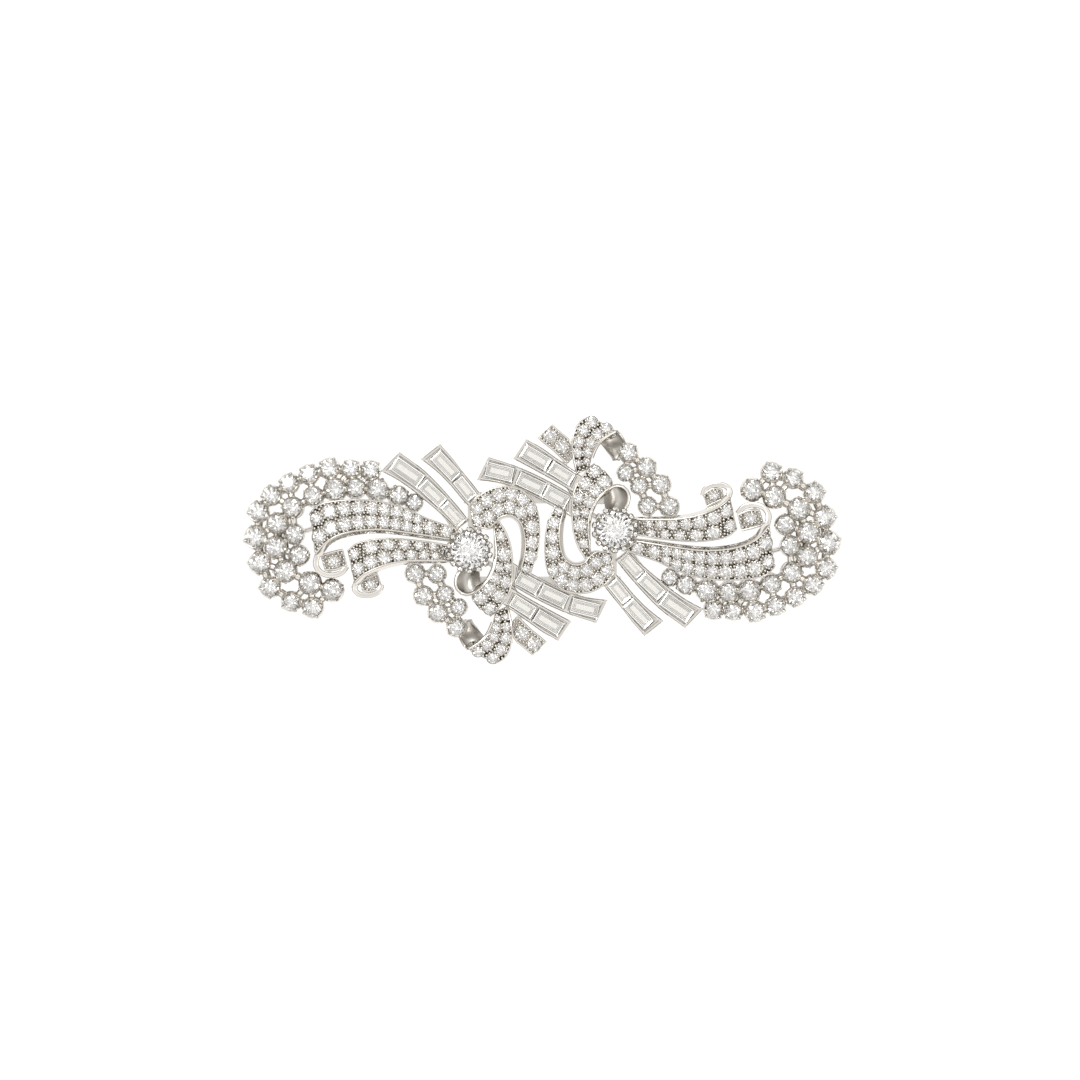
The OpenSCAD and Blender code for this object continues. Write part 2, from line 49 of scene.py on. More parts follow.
def addNode(tree, kind, settings=None, links=None):
    # settings: attributes, or sockets where the key is a number or a socket's name; links: socket -> output
    node = tree.nodes.new(kind)
    sockets = {}
    for key, value in (settings or {}).items():
        if isinstance(key, int) or key in node.inputs:
            sockets[key] = value
        else:
            setattr(node, key, value)
    for key, value in sockets.items():
        node.inputs[key].default_value = value
    for key, value in (links or {}).items():
        tree.links.new(value, node.inputs[key])
    return node


def smoothRow(a, b, c, d, t):
    # a smooth way from b to c, led by the rows before and after them
    return [0.5 * (2 * q + (r - p) * t + (2 * p - 5 * q + 4 * r - s) * t * t
                   + (3 * q - p - 3 * r + s) * t ** 3) for p, q, r, s in zip(a, b, c, d)]


def rowAt(rows, s):
    n = len(rows) - 1
    i = min(max(math.floor(s), 0), n - 1)
    return smoothRow(rows[max(i - 1, 0)], rows[i], rows[i + 1], rows[min(i + 2, n)], s - i)


def placesOn(rows, perRow):
    # even places along a table of rows, from its first row to its last
    return [i / perRow for i in range((len(rows) - 1) * perRow + 1)]


def spot(rows, s, v):
    # a point of a ribbon: s counts the rows along it, v goes from -1 at edge a to 1 at edge b
    r = rowAt(rows, s)
    return Vector([r[k] * (1 - v) / 2 + r[k + 3] * (1 + v) / 2 for k in range(3)])


def axesAt(rows, s):
    # along, across and above at a place of a ribbon
    across = (spot(rows, s, 1) - spot(rows, s, -1)).normalized()
    along = (spot(rows, s + 0.05, 0) - spot(rows, s - 0.05, 0)).normalized()
    above = along.cross(across).normalized()
    return along, across, above if above.z > 0 else -above


def newShape():
    return {"points": [], "faces": []}


def addRings(shape, rings):
    # a skin through equal rings of points, with a face over the first and the last
    start, n, m = len(shape["points"]), len(rings[0]), len(rings)
    for ring in rings:
        shape["points"] += [Vector(p) for p in ring]
    for i in range(m - 1):
        here = start + i * n
        shape["faces"] += [[here + k, here + (k + 1) % n, here + n + (k + 1) % n, here + n + k]
                           for k in range(n)]
    shape["faces"].append([start + k for k in reversed(range(n))])
    shape["faces"].append([start + (m - 1) * n + k for k in range(n)])


def addFaces(shape, points, faces):
    start = len(shape["points"])
    shape["points"] += [Vector(p) for p in points]
    shape["faces"] += [[start + k for k in f] for f in faces]


def settleFaces(mesh, crease, weld=0):
    # faces outward, smooth where the metal is smooth and sharp where two faces meet
    work = bmesh.new()
    work.from_mesh(mesh)
    if weld:
        bmesh.ops.remove_doubles(work, verts=work.verts, dist=weld)
    bmesh.ops.recalc_face_normals(work, faces=work.faces)
    for face in work.faces:
        face.smooth = crease > 0
    for edge in work.edges:
        edge.smooth = len(edge.link_faces) == 2 and edge.calc_face_angle(0) < math.radians(crease)
    work.to_mesh(mesh)
    work.free()
    return mesh


def meshOf(name, shape, crease=40, scale=mm):
    # the mesh of a shape, with its marks kept as values on the faces
    mesh = bpy.data.meshes.new(name)
    mesh.from_pydata([p * scale for p in shape["points"]], [], shape["faces"])
    for key, values in shape.get("marks", {}).items():
        mesh.attributes.new(key, "FLOAT", "FACE").data.foreach_set("value", values)
    return settleFaces(mesh, crease, 2e-4 * scale)


def paintMarked(mesh, key, plain, marked):
    # two materials on one mesh, the second on the faces that carry the mark
    mesh.materials.append(plain)
    mesh.materials.append(marked)
    marks = mesh.attributes[key].data
    for face in mesh.polygons:
        face.material_index = 1 if marks[face.index].value > 0.5 else 0


def showPiece(name, mesh, material, replaced=()):
    piece = bpy.data.objects.new(name, mesh)
    bpy.context.scene.collection.objects.link(piece)
    if material:
        mesh.materials.clear()
        mesh.materials.append(material)
    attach(piece, "root")
    if replaced:
        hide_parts(*replaced)


def halfTurned(mesh, name):
    # the right clip is the left one turned half round, so no face is turned inside out
    other = mesh.copy()
    other.name = name
    other.transform(Matrix.Rotation(math.pi, 4, "Z"))
    return other


def showPair(name, mesh, material, replaced=()):
    other = halfTurned(mesh, name + "Right")
    showPiece(name + "Left", mesh, material, [n + "_left" for n in replaced])
    showPiece(name + "Right", other, material, [n + "_right" for n in replaced])


finish = {
    "platinum": {"colour": "#DAD7D2", "rough": 0.13, "patch": 1.5},
    # ground: its darker colour is painted shade in the sunk ground; its roughness is the metal's own
    "ground": {"colour": "#CBC7C0", "rough": 0.3, "patch": 0.6},
    # hollow: its darker colour is painted shade inside the folds; its roughness is the metal's own
    "hollow": {"colour": "#BFBCB7", "rough": 0.36, "patch": 2.0},
    "diamondIor": 2.42,
    "backRough": 0.04,
    "chanceTurn": 3.1,  # radians to each side, so that no two round stones flash alike
    # light and dark: the two ends of the painted reflection, a tone on each facet under a stone
    "brilliant": {"tint": "#FFFFFF", "light": "#FFFFFF", "dark": "#BCBAB7"},
    "stepCut": {"tint": "#FFFEFB", "light": "#FFFEFC", "dark": "#9B9893"},
}


def newMaterial(name, settings):
    mat = bpy.data.materials.new(name)
    mat.use_nodes = True
    for key, value in settings.items():
        mat.node_tree.nodes["Principled BSDF"].inputs[key].default_value = value
    return mat


def metal(name, colour, rough, patch):
    # patch is the size in mm of the faint cloudiness that hand polishing leaves
    mat = newMaterial(name, {"Metallic": 1, "Base Color": hexLinear(colour)})
    tree = mat.node_tree
    where = addNode(tree, "ShaderNodeTexCoord")
    cloud = addNode(tree, "ShaderNodeTexNoise", {"Scale": 1 / (patch * mm), "Detail": 3},
                    {"Vector": where.outputs["Object"]})
    spread = addNode(tree, "ShaderNodeMapRange", {"To Min": rough * 0.75, "To Max": rough * 1.3},
                     {"Value": cloud.outputs["Fac"]})
    tree.links.new(spread.outputs[0], tree.nodes["Principled BSDF"].inputs["Roughness"])
    return mat


# rhodium bright platinum, hand polished: a warm pale mirror, a little hazy
polishedPlatinum = metal("polishedPlatinum", **finish["platinum"])
# the same metal cut with a graver between the stones and left unpolished below them: softer, and greyer in
# colour as painted shade in the sunk ground
groundPaintedShadePlatinum = metal("groundPaintedShadePlatinum", **finish["ground"])
# the inside of the folded ends, polished with a felt but not bright: hazier, and a darker grey, a colour
# painted as shade inside the hollow
hollowPaintedShadePlatinum = metal("hollowPaintedShadePlatinum", **finish["hollow"])


def cutStone(name, cut):
    # colourless diamond: clear, and bends light so strongly that each facet shows another part of the room
    return newMaterial(name, {"Base Color": hexLinear(cut["tint"]), "Roughness": 0.0,
                              "IOR": finish["diamondIor"], "Transmission Weight": 1.0})


def paintedReflectionBack(name, cut):
    # the facets under a diamond throw light back up: here a mirror whose brightness per facet is a painted
    # reflection tone between dark and light, some brighter than others: this makes its mosaic
    mat = newMaterial(name, {"Metallic": 1, "Roughness": finish["backRough"]})
    tree = mat.node_tree
    paintedReflection = addNode(tree, "ShaderNodeAttribute", {"attribute_name": "paintedReflection"})
    paintedReflections = {"data_type": "RGBA", 6: hexLinear(cut["dark"]), 7: hexLinear(cut["light"])}
    mix = addNode(tree, "ShaderNodeMix", paintedReflections, {0: paintedReflection.outputs["Fac"]})
    tree.links.new(mix.outputs[2], tree.nodes["Principled BSDF"].inputs["Base Color"])
    return mat


brilliantDiamond = cutStone("brilliantDiamond", finish["brilliant"])
stepCutDiamond = cutStone("stepCutDiamond", finish["stepCut"])
brilliantPaintedBack = paintedReflectionBack("brilliantPaintedBack", finish["brilliant"])
stepCutPaintedBack = paintedReflectionBack("stepCutPaintedBack", finish["stepCut"])
print("materials made")

# Ribbons and channels: a row for each section, with its two edges. Columns: ax ay az bx by bz
ribbons = {
    "upperRibbon": [
        [-12.6, 1.8, 8.4, -13.4, -0.1, 8.8],
        [-16.8, 3.2, 8.7, -16.8, 0.5, 9.6],
        [-20.1, 4.7, 8.8, -20.7, 1.1, 10.2],
        [-23.6, 5.8, 8.7, -24.3, 1.5, 10.6],
        [-27.3, 6.2, 8.6, -27.8, 1.3, 10.8],
        [-31.1, 6.0, 8.3, -30.6, 0.6, 10.8],
        [-33.6, 5.4, 7.9, -32.6, -0.6, 10.5],
        [-34.9, 4.2, 7.2, -34.1, -2.3, 9.8],
    ],
    "lowerRibbon": [
        [-13.0, -0.9, 8.0, -13.4, -3.3, 8.4],
        [-16.5, -0.2, 8.3, -16.5, -3.2, 9.0],
        [-19.8, 0.2, 8.4, -19.7, -3.2, 9.6],
        [-23.1, 0.4, 8.3, -22.7, -3.6, 10.0],
        [-26.1, 0.1, 8.0, -25.1, -4.4, 10.1],
        [-28.1, -0.5, 7.7, -27.0, -5.4, 9.9],
        [-29.3, -1.5, 7.2, -28.2, -6.5, 9.4],
    ],
    "bigLoop": [
        [-10.8, 4.6, 8.0, -10.3, 2.2, 8.6],
        [-10.1, 6.2, 8.2, -8.3, 1.6, 9.0],
        [-8.4, 7.5, 8.4, -7.2, 2.3, 9.4],
        [-6.6, 8.1, 8.5, -6.3, 3.3, 9.6],
        [-4.5, 8.1, 8.6, -5.1, 3.6, 9.7],
        [-2.7, 7.4, 8.6, -4.1, 3.3, 9.7],
        [-1.2, 5.8, 8.6, -3.2, 2.3, 9.6],
        [-0.4, 3.6, 8.5, -2.7, 0.6, 9.5],
        [-0.25, 0.9, 8.4, -2.6, -1.0, 9.3],
        [-0.5, -1.8, 8.2, -2.8, -2.6, 9.0],
        [-1.2, -4.0, 8.0, -3.2, -4.0, 8.6],
        [-1.8, -5.2, 7.8, -3.5, -4.6, 8.2],
    ],
    "frontRibbon": [
        [-6.5, 3.0, 8.3, -7.4, 2.1, 8.3],
        [-5.3, 1.2, 8.6, -7.2, 0.3, 9.0],
        [-4.5, -1.2, 8.9, -7.0, -1.8, 9.6],
        [-4.3, -3.8, 9.2, -7.2, -3.8, 10.0],
        [-4.4, -6.2, 9.2, -8.0, -5.6, 10.2],
        [-4.9, -8.1, 9.0, -9.0, -6.9, 10.2],
        [-5.9, -9.6, 8.6, -10.1, -7.8, 9.9],
        [-6.9, -10.9, 8.0, -10.6, -8.8, 9.2],
        [-7.7, -11.6, 7.2, -9.6, -10.2, 8.0],
    ],
    "tipRibbon": [
        [-5.1, -9.8, 7.0, -7.1, -10.7, 7.1],
        [-4.5, -12.3, 7.9, -7.6, -12.9, 8.4],
        [-4.3, -14.4, 8.1, -8.3, -14.2, 9.0],
        [-4.7, -16.4, 7.9, -9.4, -15.4, 9.0],
        [-5.6, -17.9, 7.4, -11.1, -16.2, 8.4],
        [-7.0, -18.7, 6.8, -10.5, -16.9, 7.7],
    ],
    "sideTab": [
        [-3.7, -11.3, 7.0, -5.0, -12.8, 7.0],
        [-1.8, -13.2, 6.9, -4.2, -15.0, 6.9],
        [-0.3, -14.4, 6.9, -2.9, -16.2, 6.9],
        [0.7, -15.3, 6.9, -1.5, -17.4, 6.9],
    ],
    "upperTail": [
        [-32.6, -4.6, 8.1, -33.3, -2.2, 8.3],
        [-31.0, -4.6, 8.0, -31.6, -1.7, 8.2],
        [-29.2, -3.9, 7.7, -29.9, -1.3, 7.9],
    ],
    "lowerTail": [
        [-27.0, -7.7, 7.9, -27.3, -6.1, 8.1],
        [-25.6, -7.9, 7.8, -25.9, -5.5, 8.0],
        [-24.0, -6.9, 7.6, -24.7, -4.9, 7.8],
    ],
}

sprays = {
    "sprayA": [
        [-21.4, 13.2, 7.8, -24.2, 10.3, 7.8],
        [-19.4, 11.8, 7.7, -21.9, 9.1, 7.7],
        [-17.4, 10.2, 7.6, -19.7, 7.6, 7.6],
        [-15.6, 8.4, 7.5, -17.6, 5.9, 7.5],
        [-13.8, 6.4, 7.4, -15.6, 4.2, 7.4],
        [-12.3, 4.6, 7.5, -14.0, 2.7, 7.5],
        [-11.1, 3.1, 7.6, -12.8, 1.6, 7.6],
    ],
    "sprayB": [
        [-15.3, 14.4, 8.0, -18.2, 12.1, 8.0],
        [-13.5, 12.4, 7.8, -15.8, 10.2, 7.8],
        [-11.9, 10.3, 7.6, -13.8, 8.2, 7.6],
        [-10.4, 8.4, 7.4, -12.2, 6.3, 7.4],
        [-9.2, 6.9, 7.2, -10.8, 4.8, 7.2],
    ],
    "sprayC": [
        [9.8, -9.0, 6.6, 8.1, -12.5, 6.6],
        [6.4, -8.5, 6.6, 5.2, -11.6, 6.6],
        [3.1, -7.3, 6.6, 2.2, -10.4, 6.6],
        [0.4, -6.0, 6.6, -0.3, -9.2, 6.6],
        [-2.1, -4.7, 6.6, -2.7, -7.9, 6.6],
        [-4.2, -3.5, 6.6, -4.5, -6.8, 6.6],
        [-5.6, -2.7, 6.6, -5.9, -5.9, 6.6],
    ],
    "sprayD": [
        [4.4, -12.2, 6.2, 2.4, -15.2, 6.2],
        [2.1, -11.0, 6.3, 0.1, -13.9, 6.3],
        [-0.3, -9.7, 6.4, -2.0, -12.4, 6.4],
        [-2.6, -8.4, 6.4, -3.9, -11.1, 6.4],
        [-4.5, -7.2, 6.4, -5.7, -9.8, 6.4],
        [-5.8, -6.4, 6.4, -6.8, -8.9, 6.4],
    ],
}

# Baguettes in each spray, from its outer end. Columns: place along, length, width
baguettes = {
    "sprayA": [[1.2, 5.0, 2.4], [3.1, 4.3, 2.0], [4.85, 4.0, 1.5]],
    "sprayB": [[1.1, 4.7, 2.1], [2.78, 3.7, 1.8]],
    "sprayC": [[0.82, 4.3, 2.3], [2.35, 4.4, 2.2], [3.88, 3.8, 2.2]],
    "sprayD": [[1.08, 4.5, 2.2], [2.82, 3.9, 2.0]],
}

# Rows of pave stones. The finest, frontStones, stand for no node of the CAD part.
# Columns: ribbon, place across, first and last place along, count, first and last radius
paveRows = {
    "ribbonStones": [
        ["upperRibbon", 0, 0.42, 1.02, 2, 0.9, 0.92],
        ["upperRibbon", -0.44, 1.5, 6.35, 9, 0.74, 1.12],
        ["upperRibbon", 0.44, 1.5, 6.35, 9, 0.74, 1.1],
        ["lowerRibbon", 0, 0.3, 0.3, 1, 0.92, 0.92],
        ["lowerRibbon", -0.47, 0.95, 5.3, 6, 0.74, 1.08],
        ["lowerRibbon", 0.45, 0.85, 5.25, 7, 0.74, 1],
        ["upperTail", -0.1, 1.0, 1.0, 1, 0.8, 0.8],
        ["lowerTail", 0, 1.0, 1.0, 1, 0.72, 0.72],
    ],
    "loopStones": [
        ["bigLoop", -0.42, 0.85, 6.1, 6, 1.1, 1.05],
        ["bigLoop", 0.42, 0.5, 5.4, 5, 0.98, 0.98],
        ["bigLoop", 0, 7.1, 10.4, 4, 0.98, 0.85],
    ],
    "frontStones": [
        ["frontRibbon", 0, 1.1, 2.3, 2, 0.66, 0.94],
        ["frontRibbon", -0.46, 3.1, 7.0, 4, 0.82, 0.96],
        ["frontRibbon", 0.45, 3.15, 6.4, 4, 0.82, 1.02],
        ["tipRibbon", -0.46, 0.62, 4.35, 5, 0.68, 0.84],
        ["tipRibbon", 0.44, 0.6, 4.12, 5, 0.64, 0.8],
        ["sideTab", 0, 1.0, 2.3, 2, 0.96, 1.0],
    ],
}

# Collet stones. Columns: x y radius z lean, where lean is a share of the outermost one's
cluster = [
    [-25.7, 10.6, 1.43, 6.3, 1],
    [-28.7, 10.8, 1.35, 6.2, 1],
    [-32.0, 10.9, 1.50, 6.1, 1],
    [-35.1, 10.0, 1.43, 6.1, 1],
    [-38.1, 8.6, 1.43, 6.1, 1],
    [-40.8, 6.8, 1.43, 6.1, 1],
    [-42.8, 4.3, 1.50, 6.1, 1],
    [-43.2, 0.4, 1.65, 6.1, 1],
    [-42.6, -3.5, 1.58, 6.1, 1],
    [-41.0, -7.2, 1.50, 6.1, 1],
    [-37.8, -9.4, 1.43, 6.1, 1],
    [-34.5, -10.3, 1.50, 6.2, 1],
    [-19.2, 5.6, 1.25, 6.8, 0.3],
    [-21.6, 6.7, 1.43, 6.8, 0.4],
    [-24.7, 7.6, 1.60, 6.9, 0.4],
    [-28.0, 7.8, 1.43, 6.9, 0.4],
    [-31.1, 7.6, 1.60, 6.9, 0.4],
    [-34.4, 6.6, 1.43, 6.9, 0.4],
    [-37.5, 4.9, 1.50, 6.9, 0.4],
    [-39.8, 2.5, 1.50, 6.8, 0.4],
    [-40.0, -1.1, 1.58, 6.8, 0.4],
    [-38.6, -4.7, 1.58, 6.8, 0.4],
    [-34.9, -6.5, 1.58, 7.0, 0.2],
    [-31.5, -7.6, 1.58, 7.1, 0],
    [-37.2, 0.9, 1.43, 7.3, 0],
    [-36.5, -2.3, 1.43, 7.3, 0],
]
clusterMiddle = [-30, 0.5]
fan = [
    [-19.1, -5.0, 1.40, 6.6, 0],
    [-15.8, -5.1, 1.30, 6.6, 0],
    [-17.9, -8.4, 1.40, 6.6, 0.2],
    [-14.6, -8.1, 1.25, 6.7, 0],
    [-15.7, -11.0, 1.40, 6.5, 0.3],
    [-12.5, -10.1, 1.20, 6.6, 0],
    [-12.9, -13.2, 1.40, 6.4, 0.4],
]
fanMiddle = [-13, -5]

# Which collets each wire of the web runs under, by their places in the tables
clusterRows = [list(range(12)), list(range(12, 24))]
clusterTies = [[19, 24, 25], [25, 20], [0, 14], [3, 17], [6, 19], [8, 20], [11, 23]]
fanRows = [[0, 2, 4, 6], [1, 3, 5]]
fanTies = [[0, 1], [2, 3], [4, 5], [5, 6]]

# base is the web's underside, outerLean the outermost collets' lean in degrees
frameSizes = {"base": 3.6, "webThick": 1.0, "rootRise": 0.8, "outerLean": 15}
print("tables read")


# Geometry Nodes: one tree sets a master piece at points, one draws wires through points
def newTree(name, sockets):
    tree = bpy.data.node_groups.new(name, "GeometryNodeTree")
    tree.is_modifier = True
    tree.interface.new_socket("Geometry", in_out="INPUT", socket_type="NodeSocketGeometry")
    for label, kind, value in sockets:
        made = tree.interface.new_socket(label, in_out="INPUT", socket_type=kind)
        if value is not None:
            made.default_value = value
    tree.interface.new_socket("Geometry", in_out="OUTPUT", socket_type="NodeSocketGeometry")
    return tree, addNode(tree, "NodeGroupInput")


def settingTree():
    # a master piece at each point, turned and sized by what the point carries, with a chance turn of its own
    tree, given = newTree("setAtPoints", [
        ("Master", "NodeSocketObject", None),
        ("Size", "NodeSocketFloat", 1.0),
        ("Chance turn", "NodeSocketFloat", 0.0),
        ("Seed", "NodeSocketInt", 7),
        ("Material", "NodeSocketMaterial", None),
        ("Back material", "NodeSocketMaterial", None),
    ])
    master = addNode(tree, "GeometryNodeObjectInfo", {"As Instance": True},
                     {"Object": given.outputs["Master"]})
    turn, size, under = [
        addNode(tree, "GeometryNodeInputNamedAttribute", {"data_type": kind, "Name": key})
        for key, kind in (("turn", "FLOAT_VECTOR"), ("size", "FLOAT_VECTOR"), ("under", "FLOAT"))]
    asTurn = addNode(tree, "FunctionNodeEulerToRotation", None, {0: turn.outputs["Attribute"]})
    scaled = addNode(tree, "ShaderNodeVectorMath", {"operation": "SCALE"},
                     {0: size.outputs["Attribute"], "Scale": given.outputs["Size"]})
    back = addNode(tree, "ShaderNodeMath", {"operation": "MULTIPLY", 1: -1.0},
                   {0: given.outputs["Chance turn"]})
    chance = addNode(tree, "FunctionNodeRandomValue", {"data_type": "FLOAT"},
                     {2: back.outputs[0], 3: given.outputs["Chance turn"], "Seed": given.outputs["Seed"]})
    spin = addNode(tree, "ShaderNodeCombineXYZ", None, {"Z": chance.outputs[1]})
    asSpin = addNode(tree, "FunctionNodeEulerToRotation", None, {0: spin.outputs[0]})
    placed = addNode(tree, "GeometryNodeInstanceOnPoints", None, {
        "Points": given.outputs["Geometry"], "Instance": master.outputs["Geometry"],
        "Rotation": asTurn.outputs[0], "Scale": scaled.outputs["Vector"]})
    spun = addNode(tree, "GeometryNodeRotateInstances", {"Local Space": True},
                   {"Instances": placed.outputs[0], "Rotation": asSpin.outputs[0]})
    real = addNode(tree, "GeometryNodeRealizeInstances", None, {"Geometry": spun.outputs[0]})
    painted = addNode(tree, "GeometryNodeSetMaterial", None,
                      {"Geometry": real.outputs[0], "Material": given.outputs["Material"]})
    backed = addNode(tree, "GeometryNodeSetMaterial", None,
                     {"Geometry": painted.outputs[0], "Selection": under.outputs["Attribute"],
                      "Material": given.outputs["Back material"]})
    addNode(tree, "NodeGroupOutput", None, {"Geometry": backed.outputs[0]})
    return tree


def wireTree():
    # a flattened wire along each line of points
    tree, given = newTree("drawWires", [
        ("Width", "NodeSocketFloat", 0.001),
        ("Thickness", "NodeSocketFloat", 0.001),
        ("Material", "NodeSocketMaterial", None),
    ])
    line = addNode(tree, "GeometryNodeMeshToCurve", None, {"Mesh": given.outputs["Geometry"]})
    level = addNode(tree, "GeometryNodeSetCurveNormal", {"mode": "Z_UP"}, {"Curve": line.outputs[0]})
    circle = addNode(tree, "GeometryNodeCurvePrimitiveCircle", {"Resolution": 10, "Radius": 0.5})
    squeeze = addNode(tree, "ShaderNodeCombineXYZ", {"Z": 1.0},
                      {"X": given.outputs["Width"], "Y": given.outputs["Thickness"]})
    profile = addNode(tree, "GeometryNodeTransform", None,
                      {"Geometry": circle.outputs[0], "Scale": squeeze.outputs[0]})
    wire = addNode(tree, "GeometryNodeCurveToMesh", {"Fill Caps": True},
                   {"Curve": level.outputs[0], "Profile Curve": profile.outputs[0]})
    painted = addNode(tree, "GeometryNodeSetMaterial", None,
                      {"Geometry": wire.outputs[0], "Material": given.outputs["Material"]})
    real = addNode(tree, "GeometryNodeRealizeInstances", None, {"Geometry": painted.outputs[0]})
    addNode(tree, "NodeGroupOutput", None, {"Geometry": real.outputs[0]})
    return tree


settingNodes = settingTree()
wireNodes = wireTree()


def grow(name, mesh, tree, inputs, crease=40):
    # runs a tree on a mesh and returns the plain mesh that comes out
    seed = bpy.data.objects.new(name + "Seed", mesh)
    bpy.context.scene.collection.objects.link(seed)
    change = seed.modifiers.new("grow", "NODES")
    change.node_group = tree
    for item in tree.interface.items_tree:
        if item.in_out == "INPUT" and item.name in inputs:
            change[item.identifier] = inputs[item.name]
    bpy.context.view_layer.update()
    grown = bpy.data.meshes.new_from_object(seed.evaluated_get(bpy.context.evaluated_depsgraph_get()))
    grown.name = name
    bpy.data.objects.remove(seed)
    return settleFaces(grown, crease)


def place(point, z, x, size):
    # where one master goes: its point, its own Z and X, and its size in mm
    z = Vector(z).normalized()
    y = z.cross(Vector(x)).normalized()
    turn = Matrix((y.cross(z), y, z)).transposed().to_euler()
    size = Vector(size if hasattr(size, "__len__") else [size] * 3)
    return {"point": Vector(point), "turn": turn, "size": size}


def setMany(name, master, places, material, chance=0.0, crease=0, back=None, seed=7):
    mesh = bpy.data.meshes.new(name + "Points")
    mesh.from_pydata([p["point"] * mm for p in places], [], [])
    for key in ("turn", "size"):
        store = mesh.attributes.new(key, "FLOAT_VECTOR", "POINT")
        store.data.foreach_set("vector", [c for p in places for c in p[key]])
    holder = bpy.data.objects.new(name + "Master", meshOf(name + "Master", master, crease, 1))
    bpy.context.scene.collection.objects.link(holder)
    grown = grow(name, mesh, settingNodes,
                 {"Master": holder, "Size": mm, "Chance turn": chance, "Seed": seed, "Material": material,
                  "Back material": back or material}, crease)
    bpy.data.objects.remove(holder)
    return grown


def drawWires(name, lines, width, thick, material):
    points, edges = [], []
    for line in lines:
        start = len(points)
        points += [Vector(p) * mm for p in line]
        edges += [(start + i, start + i + 1) for i in range(len(line) - 1)]
    mesh = bpy.data.meshes.new(name + "Lines")
    mesh.from_pydata(points, edges, [])
    return grow(name, mesh, wireNodes, {"Width": width * mm, "Thickness": thick * mm, "Material": material})


def joined(name, meshes):
    work = bmesh.new()
    for mesh in meshes:
        work.from_mesh(mesh)
    made = bpy.data.meshes.new(name)
    work.to_mesh(made)
    work.free()
    return made


# Master pieces, with a radius of 1 and the girdle at z 0
def brilliant(table=0.56, star=0.79, crown=0.31, rim=0.025, depth=0.92, halves=0.27):
    # table, 8 stars, 8 kites and 16 halves above; 16 halves and 8 mains below
    def at(radius, step, z):
        return [radius * math.cos(step * math.pi / 8), radius * math.sin(step * math.pi / 8), z]
    crownSlope = (crown - rim) / (1 - table)
    starZ = crown - crownSlope * (star * math.cos(math.pi / 8) - table)
    halfZ = -depth + (depth - rim) * halves * math.cos(math.pi / 8)
    points = [at(table, 2 * k, crown) for k in range(8)] + [at(star, 2 * k + 1, starZ) for k in range(8)]
    points += [at(1, k, rim) for k in range(16)] + [at(1, k, -rim) for k in range(16)]
    points += [at(halves, 2 * k + 1, halfZ) for k in range(8)] + [[0, 0, -depth]]
    faces = [list(range(8))]
    for k in range(8):
        n, p = (k + 1) % 8, (k - 1) % 8
        g = [16 + 2 * k, 16 + (2 * k + 1) % 16, 16 + (2 * k + 2) % 16]
        low = [i + 16 for i in g]
        faces += [[k, 8 + k, n], [k, 8 + p, g[0], 8 + k], [8 + k, g[0], g[1]], [8 + k, g[1], g[2]]]
        faces += [[g[0], low[0], low[1], g[1]], [g[1], low[1], low[2], g[2]]]
        faces += [[48 + k, low[1], low[0]], [48 + k, low[2], low[1]], [56, 48 + k, low[0], 48 + p]]
    shape = newShape()
    addFaces(shape, points, faces)
    # the last three of the nine faces in each eighth lie below: two halves and a main, each with its own
    # painted reflection tone
    below = [[(k * 5 % 8) / 8, (k * 3 % 7) / 7, 0.4 + (k * 5 % 3) * 0.3] for k in range(8)]
    shape["marks"] = {
        "under": [0.0] + ([0.0] * 6 + [1.0] * 3) * 8,
        "paintedReflection": [1.0] + [t for three in below for t in [1.0] * 6 + three],
    }
    return shape


def centreCut(rings=5, ripple=0.018, rim=0.025, depth=0.92):
    # a large stone breaks the light into smaller flashes: the same crown over a finer, rippled back, with a
    # painted reflection tone on each of its facets
    shape = brilliant()
    shape["faces"] = [f for f, u in zip(shape["faces"], shape["marks"]["under"]) if u < 0.5]
    above = len(shape["faces"])
    paintedFlashes = [1.0, 0.95, 1.0, 0.6, 1.0, 1.0, 0.85, 0.95, 1.0, 0.2, 0.9]
    paintedReflections = [1.0] * above
    upper = [32 + k for k in range(16)]
    for i in range(1, rings + 1):
        radius = 1 - i / (rings + 1)
        start = len(shape["points"])
        for k in range(16):
            angle = (k + (i % 2) / 2) * math.pi / 8
            z = -rim - (depth - rim) * (1 - radius) + ripple * (-1) ** k
            shape["points"].append(Vector([radius * math.cos(angle), radius * math.sin(angle), z]))
        lower = [start + k for k in range(16)]
        for k in range(16):
            n = (k + 1) % 16
            middle = lower[k] if i % 2 else lower[n]
            rest = [lower[k], lower[n], upper[n]] if i % 2 else [upper[k], lower[k], lower[n]]
            shape["faces"] += [[upper[k], middle, upper[n]], rest]
            paintedReflections += [paintedFlashes[(k * 5 + i * 7) % len(paintedFlashes)], paintedFlashes[(k * 3 + i * 4 + 2) % len(paintedFlashes)]]
        upper = lower
    shape["points"].append(Vector([0, 0, -depth]))
    for k in range(16):
        shape["faces"].append([upper[k], upper[(k + 1) % 16], len(shape["points"]) - 1])
        paintedReflections.append(paintedFlashes[k * 7 % len(paintedFlashes)])
    shape["marks"] = {"under": [0.0] * above + [1.0] * (len(shape["faces"]) - above), "paintedReflection": paintedReflections}
    return shape


def turned(profile, sides):
    # a closed profile of radius and height, turned round Z; radius 0 closes the form
    shape = newShape()
    for (r0, z0), (r1, z1) in zip(profile, profile[1:]):
        for k in range(sides):
            a, b = 2 * math.pi * k / sides, 2 * math.pi * (k + 1) / sides
            ring = [[r0 * math.cos(a), r0 * math.sin(a), z0], [r0 * math.cos(b), r0 * math.sin(b), z0],
                    [r1 * math.cos(b), r1 * math.sin(b), z1], [r1 * math.cos(a), r1 * math.sin(a), z1]]
            if r0 == 0:
                ring = ring[1:]
            elif r1 == 0:
                ring = ring[:3]
            addFaces(shape, ring, [list(range(len(ring)))])
    return shape


